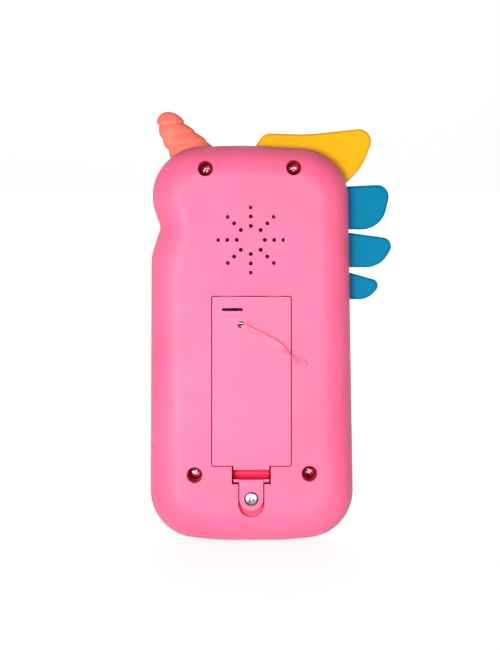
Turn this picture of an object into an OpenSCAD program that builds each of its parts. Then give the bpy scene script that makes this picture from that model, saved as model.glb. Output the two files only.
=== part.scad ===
// Toy cell phone in the shape of a unicorn: two pillow-edged shells, a horn, a crest and mane tufts
// clamped at the parting line, a screwed battery cover, and sprung keys over a rubber mat.
// Upright: +Z towards the horn, -Y out of the back, origin under the flat bottom edge.

/* [Case] */
// Depth of the back shell behind the parting plane's zero
back_depth = 14; // [13:0.5:16]
// Depth of the front shell in front of zero
front_depth = 10; // [9.5:0.5:12]
// Height of the plane where the two shells meet
parting_y = 1.5; // [1:0.25:2]
// How far the back edge rounds inwards
back_round = 11.5; // [8:0.5:12]
// How far the front edge rounds inwards
front_round = 6; // [4:0.5:7]
// Wall thickness of both shells
wall = 2; // [1.8:0.1:2.2]

/* [Back] */
// Radius of the recessed screw wells
well_r = 2.7; // [2.5:0.1:3]
// Depth of the recessed screw wells
well_depth = 8.5; // [7:0.5:9]
// Diameter of a grille hole
grille_hole_d = 1.4; // [1:0.1:1.8]
// Gap around the battery cover
seam = 0.35; // [0.25:0.05:0.45]

/* [Battery cover] */
// Width of the cover
cover_w = 27.5; // [27:0.5:28]
// Height of the cover plate
cover_h = 59; // [58:0.5:60]
// Thickness of the cover plate
cover_t = 1.8; // [1.5:0.1:1.8]
// Radius of the rounded latch tongue
tongue_r = 4.2; // [3.8:0.1:4.4]
// Width of the spring latch
latch_w = 12.5; // [11:0.5:12.5]

/* [Keys] */
// Diameter of a round key
key_d = 10.4; // [9:0.2:10.4]
// Sideways distance between keys
key_pitch_x = 15.5; // [14:0.5:16]
// Upright distance between key rows
key_pitch_z = 12.5; // [12.5:0.1:12.6]
// How far a key stands proud of the front
key_proud = 1.4; // [1:0.1:2]

/* [Hidden] */
$fn = 48;
eps = 0.01;

back_y = -back_depth;
front_y = front_depth;
back_band_y = -2;
front_band_y = 3;
inner_back_y = back_y + wall;
inner_front_y = front_y - wall;
round_step = 15;

// Corner lists run clockwise as seen from the back: x, z, fillet radius, steps along the fillet
case_corners = [
    [-11, 0, 80, 2], [-35.7, 2.4, 17, 8], [-35.4, 101, 18, 3], [-32.1, 111, 3.5, 5],
    [-42.1, 138.6, 17.6, 10], [-4, 140.3, 150, 2], [34.4, 138.3, 17.6, 8], [36.5, 2.4, 17, 8],
    [11, 0, 80, 2]];
crest_corners = [
    [-0.6, 136.6, 1.4, 3], [4.6, 144.7, 4.5, 5], [20, 144.2, 60, 2], [45.2, 146.9, 4.4, 7],
    [39.6, 132.4, 22, 4], [32.4, 125.4, 1.4, 3], [26, 131.9, 6, 3], [20, 136.4, 6, 3]];
tuft_corners = [
    [[31, 125.6, 1.2, 2], [50.4, 126.5, 4.2, 6], [46.6, 110.2, 9, 6], [31, 110.6, 1.2, 2]],
    [[31, 109.8, 1.2, 2], [52, 106.9, 3.2, 6], [46.2, 96.8, 9, 6], [31, 96.9, 1.2, 2]],
    [[31, 96.2, 1.2, 2], [47.4, 91.6, 2.4, 6], [41.6, 85.4, 7, 6], [31, 85.5, 1.2, 2]]];
mane_y = [-1, 4];
crest_y = [-1.2, 4.4];
mane_edge = 1.1;

well_places = [[-15.9, 131.4], [15, 131.7], [-19.6, 24.3], [20.5, 24.8]];
well_floor_y = back_y + well_depth;
boss_end_y = well_floor_y + 1.5;
screw_d = 2.2;
screw_head_d = 4.6;

grille_x = 0;
grille_z = 106.4;
grille_rays = 8;
grille_rings = [4.9, 8.2, 11.4];

// Battery cover and bay
cover_x = 0.25;
cover_bottom_z = 27.6;
cover_top_z = cover_bottom_z + cover_h;
cover_inner_y = back_y + cover_t;
cover_r = 0.7;
hook_x = [-8, 8.5];
hook_w = 5;
hook_reach = 2.4;
slot_place = [-6.4, 82.1];
slot_w = 7.4;
slot_h = 1.05;
tab_hole = [-3.3, 76.8];
tab_hole_d = 2.4;
latch_x = 0.2;
latch_t = 1;
latch_top_z = 27.2;
latch_bottom_z = 21.75;
latch_depth_y = -7;
ledge_y = back_y + 0.8;
tongue_z = 16;
tongue_t = 2.6;
tongue_floor_y = back_y + tongue_t;
head_floor_y = back_y + 1.4;
tongue_hole_d = 5;
bay_x = [-11.9, 12.4];
bay_z = [28.6, 78.2];
bay_floor_y = -0.8;
bay_wall = 1.5;
bay_rail = 2;

// Cells
cell_d = 10.5;
cell_y = -6.35;
cell_left_x = -5.3;
cell_right_x = 5.8;
cell_body = 43.7;
cell_button = 0.8;
cell_button_d = 3.8;
contact_t = 0.4;
top_contact_z = 77;
link_contact_z = 29;
spring_h = 3;

// Board, mat and keys
board_y = [2, 3.2];
board_z = [28.4, 108];
board_half_w = 26;
post_places = [[-23.5, 39.25], [23.5, 39.25], [-23.5, 99], [23.5, 99]];
mat_y = [3.25, 4.1];
dome_y = 5.6;
key_rows_z = 33;
function_z = 82.5;
function_r = 3;
function_half = 2.5;
key_gap = 0.3;
flange_y = [inner_front_y - 1.1, inner_front_y - 0.1];
flange_lip = 0.8;
plunger_d = 5;

// Display and face
lens_z = 99;
lens_size = [38, 20];
lens_r = 3;
lens_t = 1.1;
window_lip = 1.8;
eye_place = [-8, 124];
nostril_place = [-27, 121];

// ---- shapes ----

function unit(v) = v / norm(v);
function right_of(v) = [v.y, -v.x];
function turned(v, a) = [v.x * cos(a) - v.y * sin(a), v.x * sin(a) + v.y * cos(a)];

// Points of one filleted corner after the outline has moved inwards
function corner_arc(before, at, after, inset) =
    let (
        u = unit([at.x - before.x, at.y - before.y]),
        w = unit([after.x - at.x, after.y - at.y]),
        convex = u.x * w.y - u.y * w.x < 0,
        side = convex ? 1 : -1,
        r = at[2] - side * inset,
        angle = acos(u * w),
        shift = (right_of(u) + right_of(w)) / (1 + right_of(u) * right_of(w)),
        tip = [at.x, at.y] + inset * shift,
        start = tip - u * r * tan(angle / 2),
        centre = start + side * r * right_of(u)
    )
    [for (i = [0 : at[3]]) centre - side * r * turned(right_of(u), -side * angle * i / at[3])];

function outline(corners, inset) =
    let (n = len(corners))
    [for (i = [0 : n - 1])
        each corner_arc(corners[(i + n - 1) % n], corners[i], corners[(i + 1) % n], inset)];

// Solid through copies of one outline: each level is inset, y, from the back to the front
module loft(corners, levels) {
    rings = [for (level = levels) [for (p = outline(corners, level[0])) [p.x, level[1], p.y]]];
    n = len(rings[0]);
    last = len(levels) - 1;
    polyhedron(
        points = [for (ring = rings) each ring],
        faces = [
            [for (i = [0 : n - 1]) i],
            for (k = [0 : last - 1], i = [0 : n - 1])
                [(k + 1) * n + i, (k + 1) * n + (i + 1) % n, k * n + (i + 1) % n, k * n + i],
            [for (i = [n - 1 : -1 : 0]) last * n + i]
        ]
    );
}

// Levels along a rounded edge, from the straight band to the flat face
function rounding(inset, round_in, band_y, face_y) = [
    for (a = [0 : round_step : 90])
        [inset + round_in * (1 - cos(a)), band_y + (face_y - band_y) * sin(a)]];

function reversed(list) = [for (i = [len(list) - 1 : -1 : 0]) list[i]];

// Closed band through copies of one outline, each level being inset, y: down the outside and back up inside
module rim(corners, levels) {
    rings = [for (level = levels) [for (p = outline(corners, level[0])) [p.x, level[1], p.y]]];
    n = len(rings[0]);
    m = len(levels);
    polyhedron(
        points = [for (ring = rings) each ring],
        faces = [for (k = [0 : m - 1], i = [0 : n - 1])
            [k * n + i, k * n + (i + 1) % n, (k + 1) % m * n + (i + 1) % n, (k + 1) % m * n + i]]
    );
}

// Shell with a rounded edge and a flat face, open at the parting plane
module shell(round_in, band_y, face_y, inner_y) {
    outside = rounding(0, round_in, band_y, face_y);
    inside = rounding(wall, round_in - wall, band_y, inner_y);
    loop = concat([[0, parting_y]], outside, reversed(inside), [[wall, parting_y]]);
    rim(case_corners, face_y < inner_y ? loop : reversed(loop));
    along_y(min(face_y, inner_y), max(face_y, inner_y)) polygon(outline(case_corners, round_in));
}

// Leaf with rounded edges, used for the crest and the tufts
module leaf(corners, y) {
    loft(corners, [
        [mane_edge, y[0]], [mane_edge * 0.3, y[0] + mane_edge * 0.3], [0, y[0] + mane_edge],
        [0, y[1] - mane_edge], [mane_edge * 0.3, y[1] - mane_edge * 0.3], [mane_edge, y[1]]]);
}

// Extrudes a shape drawn in x, z from one y to another
module along_y(y0, y1) {
    translate([0, y1, 0]) rotate([90, 0, 0]) linear_extrude(y1 - y0) children();
}

module rod(place, y0, y1, d) {
    translate([place.x, y1, place.y]) rotate([90, 0, 0]) cylinder(h = y1 - y0, d = d);
}

module block(x, y, z) {
    translate([x[0], y[0], z[0]]) cube([x[1] - x[0], y[1] - y[0], z[1] - z[0]]);
}

// Round-ended bar lying along x, drawn in x, z
module pill(place, half, r) {
    translate(place) {
        square([2 * half, 2 * r], center = true);
        for (side = [-1, 1]) translate([side * half, 0]) circle(r);
    }
}

module rounded_plate(place, size, r) {
    translate(place) {
        square([size.x - 2 * r, size.y], center = true);
        square([size.x, size.y - 2 * r], center = true);
        for (sx = [-1, 1], sz = [-1, 1])
            translate([sx * (size.x / 2 - r), sz * (size.y / 2 - r)]) circle(r);
    }
}

// Round wire through hand-placed points
module wire(path, r) {
    sides = 8;
    n = len(path);
    function heading(i) = unit(path[min(i + 1, n - 1)] - path[max(i - 1, 0)]);
    function across(i) =
        let (h = heading(i), ref = abs(h.x) > 0.9 ? [0, 0, 1] : [1, 0, 0])
        unit(cross(h, ref));
    polyhedron(
        points = [for (i = [0 : n - 1], k = [0 : sides - 1])
            path[i] + r * (cos(360 * k / sides) * across(i)
                + sin(360 * k / sides) * cross(heading(i), across(i)))],
        faces = [
            [for (k = [0 : sides - 1]) k],
            for (i = [0 : n - 2], k = [0 : sides - 1])
                [i * sides + k, (i + 1) * sides + k, (i + 1) * sides + (k + 1) % sides,
                    i * sides + (k + 1) % sides],
            [for (k = [sides - 1 : -1 : 0]) (n - 1) * sides + k]
        ]
    );
}

// Openings in both shells that the horn, crest and tufts pass through
slot_gap = 0.12;
horn_slot_y = [1.6 - 3.7, 1.6 + 3.7];
horn_slot = [[-27.2, 132.4], [-29.8, 139.6], [-15, 146], [-11, 142], [-11.3, 137.2]];
crest_slot = [
    [-0.9, 136.1], [-0.9, 142], [38, 142], [38, 125], [31.8, 125], [25.8, 131.4], [19.8, 136.1]];
tuft_slot_x = [30.5, 40];

module mane_slots() {
    along_y(horn_slot_y[0], horn_slot_y[1]) polygon(horn_slot);
    along_y(crest_y[0] - slot_gap, crest_y[1] + slot_gap) polygon(crest_slot);
    for (tuft = tuft_corners)
        block(tuft_slot_x, [mane_y[0] - slot_gap, mane_y[1] + slot_gap],
            [tuft[3].y - slot_gap, tuft[0].y + (tuft[1].y - tuft[0].y) * 0.2 + 3 * slot_gap]);
}

// ---- shells ----

module rear_bosses() {
    for (place = well_places) rod(place, inner_back_y - 1.5, boss_end_y, 2 * well_r + 2.2);
}

module rear_insides() {
    // Battery bay with slots for the solder tags, and the rails that carry the cover's top end
    difference() {
        block([bay_x[0] - bay_rail, bay_x[1] + bay_rail], [inner_back_y - eps, bay_floor_y + bay_wall],
            [bay_z[0] - 1.2, bay_z[1] + bay_wall]);
        block(bay_x, [inner_back_y - 1, bay_floor_y], bay_z);
        for (x = [cell_left_x, cell_right_x])
            block([x - 1.3, x + 1.3], [bay_floor_y - 1, 2], [76.6, 77.8]);
    }
    for (x = [bay_x[0] - bay_rail, bay_x[1]])
        block([x, x + bay_rail], [inner_back_y - eps, inner_back_y + 3], [bay_z[1] + 0.5, cover_top_z + 1.4]);
    // Pocket behind the spring latch, and the pad and boss behind the tongue
    block([latch_x - 7.8, latch_x + 7.8], [inner_back_y - eps, latch_depth_y + 1.4], [20, bay_z[0]]);
    block([latch_x - 5.8, latch_x + 5.8], [inner_back_y - eps, tongue_floor_y + 1.7], [8, 21]);
    rod([latch_x, tongue_z], tongue_floor_y, -5, 7);
    difference() {
        rod([grille_x, grille_z], inner_back_y - eps, -7, 31);
        rod([grille_x, grille_z], inner_back_y - 1, -6, 28.6);
    }
}

module rear_cuts() {
    for (place = well_places) {
        rod(place, back_y - 1, well_floor_y, 2 * well_r);
        rod(place, back_y - 1, boss_end_y + 1, 2.6);
    }
    for (ray = [0 : grille_rays - 1], r = grille_rings)
        rod([grille_x + r * cos(45 * ray), grille_z + r * sin(45 * ray)], back_y - 1,
            inner_back_y + 1, grille_hole_d);
    // Rebate for the cover
    block([cover_x - cover_w / 2 - seam, cover_x + cover_w / 2 + seam], [back_y - 1, inner_back_y + 0.02],
        [cover_bottom_z - seam, cover_top_z + seam]);
    // Pocket of the spring latch
    block([latch_x - 6.8, latch_x + 6.8], [back_y - 1, latch_depth_y + 0.4], [21.2, 27.4]);
    block([latch_x - 6.8, latch_x + 6.8], [back_y - 1, inner_back_y + 0.02], [21.2, 27.8]);
    // Recess of the tongue, a little longer than the tongue
    along_y(back_y - 1, tongue_floor_y + 0.1) {
        translate([latch_x, (21.5 + 14.2) / 2]) square([2 * tongue_r + 0.85, 21.5 - 14.2], center = true);
        translate([latch_x, 14.2]) circle(tongue_r + 0.425);
    }
    rod([latch_x, tongue_z], back_y, -4, 2.5);
}

module rear_case() {
    color([0.99, 0.45, 0.67])
    difference() {
        union() {
            shell(back_round, back_band_y, back_y, inner_back_y);
            intersection() {
                loft(case_corners, concat(
                    reversed(rounding(0, back_round, back_band_y, back_y)), [[0, parting_y]]));
                rear_bosses();
            }
            rear_insides();
        }
        rear_cuts();
        mane_slots();
    }
}

function key_x(column) = (column - 1) * key_pitch_x;
function key_z(row) = key_rows_z + row * key_pitch_z;

module front_insides() {
    for (place = well_places) rod(place, boss_end_y + 0.1, inner_front_y + 1, 6);
    for (place = post_places) rod(place, board_y[1] + 0.05, inner_front_y + 1, 4.5);
}

module front_cuts() {
    for (place = well_places) rod(place, boss_end_y - 1, 6.5, screw_d + 0.1);
    for (place = post_places) rod(place, board_y[1] - 1, 7, 1.9);
    for (row = [0 : 3], column = [0 : 2])
        rod([key_x(column), key_z(row)], inner_front_y - 1, front_y + 1, key_d + 2 * key_gap);
    for (column = [0 : 2])
        along_y(inner_front_y - 1, front_y + 1)
            pill([key_x(column), function_z], function_half, function_r + key_gap);
    along_y(front_y - lens_t, front_y + 1) rounded_plate([0, lens_z], lens_size + [0.3, 0.3], lens_r);
    along_y(inner_front_y - 1, front_y)
        rounded_plate([0, lens_z], lens_size - 2 * [window_lip, window_lip], lens_r - window_lip / 2);
    rod(eye_place, inner_front_y - 1, front_y + 1, 4.1);
    rod(nostril_place, inner_front_y - 1, front_y + 1, 2.1);
}

module front_case() {
    color([0.99, 0.5, 0.7])
    difference() {
        union() {
            shell(front_round, front_band_y, front_y, inner_front_y);
            front_insides();
        }
        front_cuts();
        mane_slots();
    }
}

// ---- horn, crest and tufts ----

// Grooves of the horn from its root to the last one: left x, z and right x, z
horn_grooves = [
    [-26.8, 132.7, -11.6, 137.4], [-29.4, 138.9, -16.1, 142], [-31.6, 143, -20, 145.2],
    [-32.8, 147.8, -24.3, 148.5]];
horn_tip = [-30, 152.6];
horn_y = 1.6;
horn_bulge = 0.75;
horn_half_depth = [3.5, 2.9];

module horn() {
    sides = 20;
    bands = len(horn_grooves) - 1;
    steps = 4;
    function ends(g) = let (i = min(floor(g), bands - 1), t = g - i)
        horn_grooves[i] * (1 - t) + horn_grooves[i + 1] * t;
    // Each ring: left, right and half depth, with every band swelling between its grooves
    ribs = [for (k = [0 : bands * steps])
        let (g = k / steps, swell = horn_bulge * sin(180 * pow(g - floor(g), 0.7)), e = ends(g))
        [[e[0] - swell, e[1]], [e[2] + swell, e[3]],
            horn_half_depth[0] + (horn_half_depth[1] - horn_half_depth[0]) * g / bands + swell / 2 - 0.3]];
    last = horn_grooves[bands];
    dome = [for (a = [30, 55, 75])
        let (
            middle = [last[0] + last[2], last[1] + last[3]] / 2,
            half = ([last[2] - last[0], last[3] - last[1]] / 2) * (1 + horn_bulge / 5) * cos(a),
            at = middle + (horn_tip - middle) * sin(a)
        )
        [at - half, at + half, horn_half_depth[1] * cos(a)]];
    rings = concat(ribs, dome);
    color([1, 0.5, 0.43])
    polyhedron(
        points = [
            for (ring = rings, k = [0 : sides - 1])
                let (middle = (ring[0] + ring[1]) / 2, half = (ring[1] - ring[0]) / 2,
                    p = middle + half * cos(360 * k / sides))
                [p.x, horn_y + ring[2] * sin(360 * k / sides), p.y],
            [horn_tip.x, horn_y, horn_tip.y]],
        faces = [
            [for (k = [0 : sides - 1]) k],
            for (i = [0 : len(rings) - 2], k = [0 : sides - 1])
                [i * sides + k, (i + 1) * sides + k, (i + 1) * sides + (k + 1) % sides,
                    i * sides + (k + 1) % sides],
            for (k = [0 : sides - 1])
                [(len(rings) - 1) * sides + k, len(rings) * sides, (len(rings) - 1) * sides + (k + 1) % sides]
        ]
    );
}

module mane_crest() {
    color([1, 0.77, 0]) leaf(crest_corners, crest_y);
}

module mane_tufts() {
    color([0, 0.56, 0.77]) {
        for (tuft = tuft_corners) leaf(tuft, mane_y);
        block([29.6, 32.1], [mane_y[0] + 0.4, mane_y[1] - 0.4], [84.5, 122]);
    }
}

// ---- battery cover ----

module latch_profile() {
    outer = (latch_top_z - latch_bottom_z) / 2;
    middle_z = (latch_top_z + latch_bottom_z) / 2;
    centre_y = latch_depth_y - outer;
    difference() {
        union() {
            block([latch_x - latch_w / 2, latch_x + latch_w / 2], [back_y, centre_y],
                [middle_z, latch_top_z]);
            block([latch_x - latch_w / 2, latch_x + latch_w / 2], [ledge_y, centre_y],
                [latch_bottom_z, middle_z + eps]);
            translate([latch_x - latch_w / 2, centre_y, middle_z]) rotate([0, 90, 0])
                cylinder(h = latch_w, r = outer);
        }
        block([latch_x - latch_w, latch_x + latch_w], [back_y - 1, centre_y],
            [latch_bottom_z + latch_t, latch_top_z - latch_t]);
        translate([latch_x - latch_w, centre_y, middle_z]) rotate([0, 90, 0])
            cylinder(h = 2 * latch_w, r = outer - latch_t);
    }
}

module battery_cover() {
    color([1, 0.52, 0.73])
    difference() {
        union() {
            along_y(back_y, cover_inner_y)
                rounded_plate([cover_x, cover_bottom_z + cover_h / 2], [cover_w, cover_h], cover_r);
            block([latch_x - latch_w / 2, latch_x + latch_w / 2], [back_y, cover_inner_y],
                [latch_top_z - latch_t, cover_bottom_z + 1]);
            latch_profile();
            along_y(back_y, tongue_floor_y) {
                translate([latch_x, (tongue_z + 22.75) / 2])
                    square([2 * tongue_r, 22.75 - tongue_z], center = true);
                translate([latch_x, tongue_z]) circle(tongue_r);
            }
            for (x = hook_x) {
                block([x - hook_w / 2, x + hook_w / 2], [cover_inner_y - 0.5, inner_back_y + 1.7],
                    [cover_top_z - 2.2, cover_top_z - 0.2]);
                block([x - hook_w / 2, x + hook_w / 2], [inner_back_y + 0.15, inner_back_y + 1.7],
                    [cover_top_z - 0.3, cover_top_z + hook_reach]);
            }
        }
        along_y(back_y - 1, 0) pill(slot_place, (slot_w - slot_h) / 2, slot_h / 2);
        rod(tab_hole, back_y - 1, -10, tab_hole_d);
        rod([latch_x, tongue_z], back_y - 1, head_floor_y, tongue_hole_d);
        rod([latch_x, tongue_z], back_y - 1, -10, 2);
    }
}

// Pan-head screw whose seat is at seat_y, with a cross recess in its head
module screw(place, seat_y, head_d, head_t, shaft_d, shaft) {
    difference() {
        union() {
            rod(place, seat_y - head_t, seat_y, head_d);
            rod(place, seat_y - eps, seat_y + shaft, shaft_d);
        }
        for (a = [20, 110])
            translate([place.x, seat_y - head_t, place.y]) rotate([0, a, 0])
                cube([head_d * 0.6, head_t, head_d * 0.14], center = true);
    }
}

module cover_screw() {
    color([0.8, 0.82, 0.82]) screw([latch_x, tongue_z], head_floor_y - 0.02, 4.5, 1.3, 1.8, 4.2);
}

module case_screws() {
    color([0.7, 0.7, 0.7])
    for (place = well_places) screw(place, well_floor_y - 0.02, screw_head_d, 1.7, screw_d, 11);
}

// ---- power ----

// Cell standing along z from its flat end, button upwards
module cell() {
    cylinder(h = cell_body, d = cell_d);
    translate([0, 0, cell_body - eps]) cylinder(h = cell_button + eps, d = cell_button_d);
}

module battery_left() {
    color([0.2, 0.35, 0.3]) translate([cell_left_x, cell_y, 32.1]) cell();
}

module battery_right() {
    color([0.2, 0.35, 0.3])
    translate([cell_right_x, cell_y, 29.5 + cell_body + cell_button]) rotate([180, 0, 0]) cell();
}

// Conical spring of square wire standing along z, wide end down
module coil(h) {
    turns = 3;
    steps = 14;
    r_low = 3.6;
    r_high = 2.4;
    half = 0.22;
    n = turns * steps;
    points = [for (i = [0 : n])
        let (t = i / n, a = 360 * turns * t, r = r_low + (r_high - r_low) * t, z = half + (h - 2 * half) * t)
        each [[(r - half) * cos(a), (r - half) * sin(a), z - half],
            [(r + half) * cos(a), (r + half) * sin(a), z - half],
            [(r + half) * cos(a), (r + half) * sin(a), z + half],
            [(r - half) * cos(a), (r - half) * sin(a), z + half]]];
    polyhedron(points = points, faces = [
        [3, 2, 1, 0],
        for (i = [0 : n - 1], k = [0 : 3])
            [4 * i + (k + 1) % 4, 4 * i + 4 + (k + 1) % 4, 4 * i + 4 + k, 4 * i + k],
        [4 * n, 4 * n + 1, 4 * n + 2, 4 * n + 3]]);
}

module contact_plate(x, z) {
    block([x - 4.6, x + 4.6], [-11, -1.4], [z, z + contact_t]);
    block([x - 1, x + 1], [-1.5, 1.3], [z, z + contact_t]);
}

module positive_contact() {
    color([0.8, 0.8, 0.75]) contact_plate(cell_left_x, top_contact_z);
}

module negative_contact() {
    color([0.8, 0.8, 0.75]) {
        contact_plate(cell_right_x, top_contact_z);
        translate([cell_right_x, cell_y, top_contact_z + 0.05]) rotate([180, 0, 0]) coil(spring_h);
    }
}

module link_contact() {
    color([0.8, 0.8, 0.75]) {
        block([cell_left_x - 4.6, cell_right_x + 4.6], [-11, -1.4],
            [link_contact_z, link_contact_z + contact_t]);
        translate([cell_left_x, cell_y, link_contact_z + contact_t - 0.05]) coil(spring_h - 0.4);
    }
}

// Film strip that keeps the cell off its contact: centre, width and turn of its face at each place
tab_t = 0.2;
tab_route = [
    [[-3.3, -2.4, 76.8], 1.8, [1, 0, 0]], [[-3.3, -14.6, 76.8], 1.8, [1, 0, 0]],
    [[-2.9, -15.3, 76.6], 1.9, [0.8, -0.55, 0.2]], [[-1.6, -15.9, 75.9], 2.2, [0.35, -0.85, 0.4]],
    [[1.4, -16, 74.2], 2.6, [0.25, -0.85, 0.45]], [[5, -15.8, 72.2], 3, [0.38, -0.62, 0.68]],
    [[8.6, -15.7, 70], 3.2, [0.45, -0.42, 0.79]], [[11.4, -15.7, 68], 3.2, [0.3, -0.8, 0.52]],
    [[13.6, -15.8, 66.3], 3.3, [-0.1, -0.98, -0.16]], [[15.8, -15.8, 64.9], 3.3, [-0.42, -0.62, -0.66]],
    [[17.8, -15.6, 63.8], 2.6, [-0.45, -0.4, -0.8]], [[19.6, -15.4, 62.8], 1, [-0.46, -0.3, -0.84]]];

module pull_tab() {
    n = len(tab_route);
    function heading(i) = unit(tab_route[min(i + 1, n - 1)][0] - tab_route[max(i - 1, 0)][0]);
    function across(i) =
        let (w = tab_route[i][2], h = heading(i)) unit(w - h * (w * h));
    points = [for (i = [0 : n - 1])
        let (c = tab_route[i][0], w = across(i) * tab_route[i][1] / 2,
            t = cross(heading(i), across(i)) * tab_t / 2)
        each [c - w - t, c + w - t, c + w + t, c - w + t]];
    color([1, 0.8, 0.85, 0.6])
    polyhedron(points = points, faces = [
        [0, 1, 2, 3],
        for (i = [0 : n - 2], k = [0 : 3]) each [
            [4 * i + k, 4 * i + 4 + k, 4 * i + (k + 1) % 4],
            [4 * i + 4 + k, 4 * i + 4 + (k + 1) % 4, 4 * i + (k + 1) % 4]],
        [4 * n - 1, 4 * n - 2, 4 * n - 3, 4 * n - 4]]);
}

module battery_wires() {
    color([0.8, 0.1, 0.1]) {
        wire([[-5.3, 1.36, 77.8], [-5.3, 1.36, 80], [-6.5, 1.36, 83.5], [-8, 1.36, 86]], 0.45);
        wire([[5.8, 1.36, 77.8], [5.8, 1.36, 80], [7, 1.36, 83.5], [8.5, 1.36, 86]], 0.45);
    }
}

// ---- electronics ----

module circuit_board() {
    color([0.1, 0.45, 0.25])
    difference() {
        block([-board_half_w, board_half_w], board_y, board_z);
        for (place = post_places) rod(place, 0, 5, 2.2);
    }
}

module board_screws() {
    color([0.75, 0.75, 0.75])
    for (place = post_places) screw(place, board_y[0] - 0.02, 3.6, 1.2, 1.8, 4.4);
}

module sound_chip() {
    // Epoxy drop over the bare chip, low enough to clear the bay's floor
    color([0.05, 0.05, 0.05])
    intersection() {
        translate([20, board_y[0] + 6.3, 60]) sphere(r = 7.6, $fn = 96);
        rod([20, 60], -2, board_y[0] - 0.01, 7);
    }
}

module board_components() {
    color([0.2, 0.2, 0.25]) {
        translate([-20, board_y[0] - 0.01, 52]) rotate([90, 0, 0]) cylinder(h = 5, d = 5);
        for (z = [62, 66, 70])
            block([-21.6, -18.4], [board_y[0] - 0.7, board_y[0] - 0.01], [z - 0.8, z + 0.8]);
        block([18, 22], [board_y[0] - 1.6, board_y[0] - 0.01], [74, 78]);
    }
}

module leds() {
    color([0.95, 0.95, 0.85])
    for (x = [-9, 9]) {
        rod([x, 98], board_y[1] + 0.01, 5, 3);
        translate([x, 5, 98]) sphere(d = 3);
    }
}

module speaker_frame() {
    color([0.6, 0.6, 0.62])
    translate([grille_x, 0, grille_z]) rotate([-90, 0, 0]) rotate_extrude()
        polygon([[14, -11.7], [14, -10.5], [12.7, -10.5], [7.2, -6.2], [6.4, -6.2], [6.4, -6.9],
            [11.9, -11.1], [11.9, -11.7]]);
}

module speaker_magnet() {
    color([0.3, 0.3, 0.3])
    rod([grille_x, grille_z], -6.15, -2.9, 14);
}

module speaker_cone() {
    color([0.15, 0.15, 0.15])
    translate([grille_x, 0, grille_z]) rotate([-90, 0, 0]) rotate_extrude()
        polygon([[0, -9.4], [3.4, -8], [11.6, -11.5], [11.6, -11.1], [3.6, -7.2], [0, -8.8]]);
}

module speaker_wires() {
    color([0.1, 0.1, 0.1]) {
        wire([[-4, -4, 98.6], [-6, -1.5, 96], [-9, 0.8, 94.5], [-12, 1.4, 93], [-14, 1.4, 90]], 0.5);
        wire([[4, -4, 98.6], [6, -1.5, 96], [9, 0.8, 94.5], [12, 1.4, 93], [14, 1.4, 90]], 0.5);
    }
}

// ---- keys ----

module dome(place) {
    translate([place.x, mat_y[1] - eps, place.y]) rotate([-90, 0, 0])
        cylinder(h = dome_y - mat_y[1], r1 = 4, r2 = 2.8);
}

module keypad_mat() {
    color([0.85, 0.85, 0.82]) {
        block([-20.4, 20.4], mat_y, [29.2, 87]);
        for (column = [0 : 2], row = [0 : 3]) dome([key_x(column), key_z(row)]);
        for (column = [0 : 2]) dome([key_x(column), function_z]);
    }
}

// Round key with a domed top, a flange under the shell and a plunger on the mat
module round_key(column, row) {
    place = [key_x(column), key_z(row)];
    dome_r = 26;
    top_y = front_y + key_proud;
    intersection() {
        rod(place, flange_y[0] + 0.5, top_y, key_d);
        translate([place.x, top_y - dome_r, place.y]) sphere(r = dome_r, $fn = 96);
    }
    rod(place, flange_y[0], flange_y[1], key_d + 2 * flange_lip);
    rod(place, dome_y + 0.05, flange_y[0] + eps, plunger_d);
}

module pill_key(column) {
    place = [key_x(column), function_z];
    along_y(flange_y[0], front_y + key_proud) pill(place, function_half, function_r);
    along_y(flange_y[0], flange_y[1]) pill(place, function_half, function_r + 0.7);
    rod(place, dome_y + 0.05, flange_y[0] + eps, plunger_d);
}

module key_1() { color([1, 0.77, 0]) round_key(2, 3); }
module key_2() { color([0, 0.56, 0.77]) round_key(1, 3); }
module key_3() { color([1, 0.5, 0.43]) round_key(0, 3); }
module key_4() { color([0, 0.56, 0.77]) round_key(2, 2); }
module key_5() { color([1, 0.5, 0.43]) round_key(1, 2); }
module key_6() { color([1, 0.77, 0]) round_key(0, 2); }
module key_7() { color([1, 0.5, 0.43]) round_key(2, 1); }
module key_8() { color([1, 0.77, 0]) round_key(1, 1); }
module key_9() { color([0, 0.56, 0.77]) round_key(0, 1); }
module key_star() { color([1, 0.77, 0]) round_key(2, 0); }
module key_0() { color([0, 0.56, 0.77]) round_key(1, 0); }
module key_hash() { color([1, 0.5, 0.43]) round_key(0, 0); }
module key_call() { color([0.3, 0.75, 0.4]) pill_key(2); }
module key_music() { color([0.6, 0.45, 0.8]) pill_key(1); }
module key_light() { color([0.9, 0.25, 0.3]) pill_key(0); }

// ---- front trim ----

module display_lens() {
    color([0.8, 0.9, 1, 0.5])
    along_y(front_y - lens_t + 0.02, front_y) rounded_plate([0, lens_z], lens_size, lens_r);
}

module picture_card() {
    color([0.7, 0.9, 1])
    along_y(inner_front_y - 0.6, inner_front_y - 0.02) rounded_plate([0, lens_z], lens_size - [1, 1], 2);
}

// Plug pressed into the face with a low domed head
module plug(place, head_d, stem_d, proud) {
    head_r = (head_d * head_d / 4 + proud * proud) / (2 * proud);
    intersection() {
        translate([place.x, front_y + proud - head_r, place.y]) sphere(r = head_r, $fn = 96);
        rod(place, front_y + 0.01, front_y + proud + 1, head_d);
    }
    rod(place, inner_front_y - 0.4, front_y + 0.1, stem_d);
}

module eye_insert() {
    color([0.08, 0.07, 0.1]) plug(eye_place, 9, 4, 1.1);
}

module nostril_insert() {
    color([0.75, 0.2, 0.4]) plug(nostril_place, 3.6, 2, 0.6);
}

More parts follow.
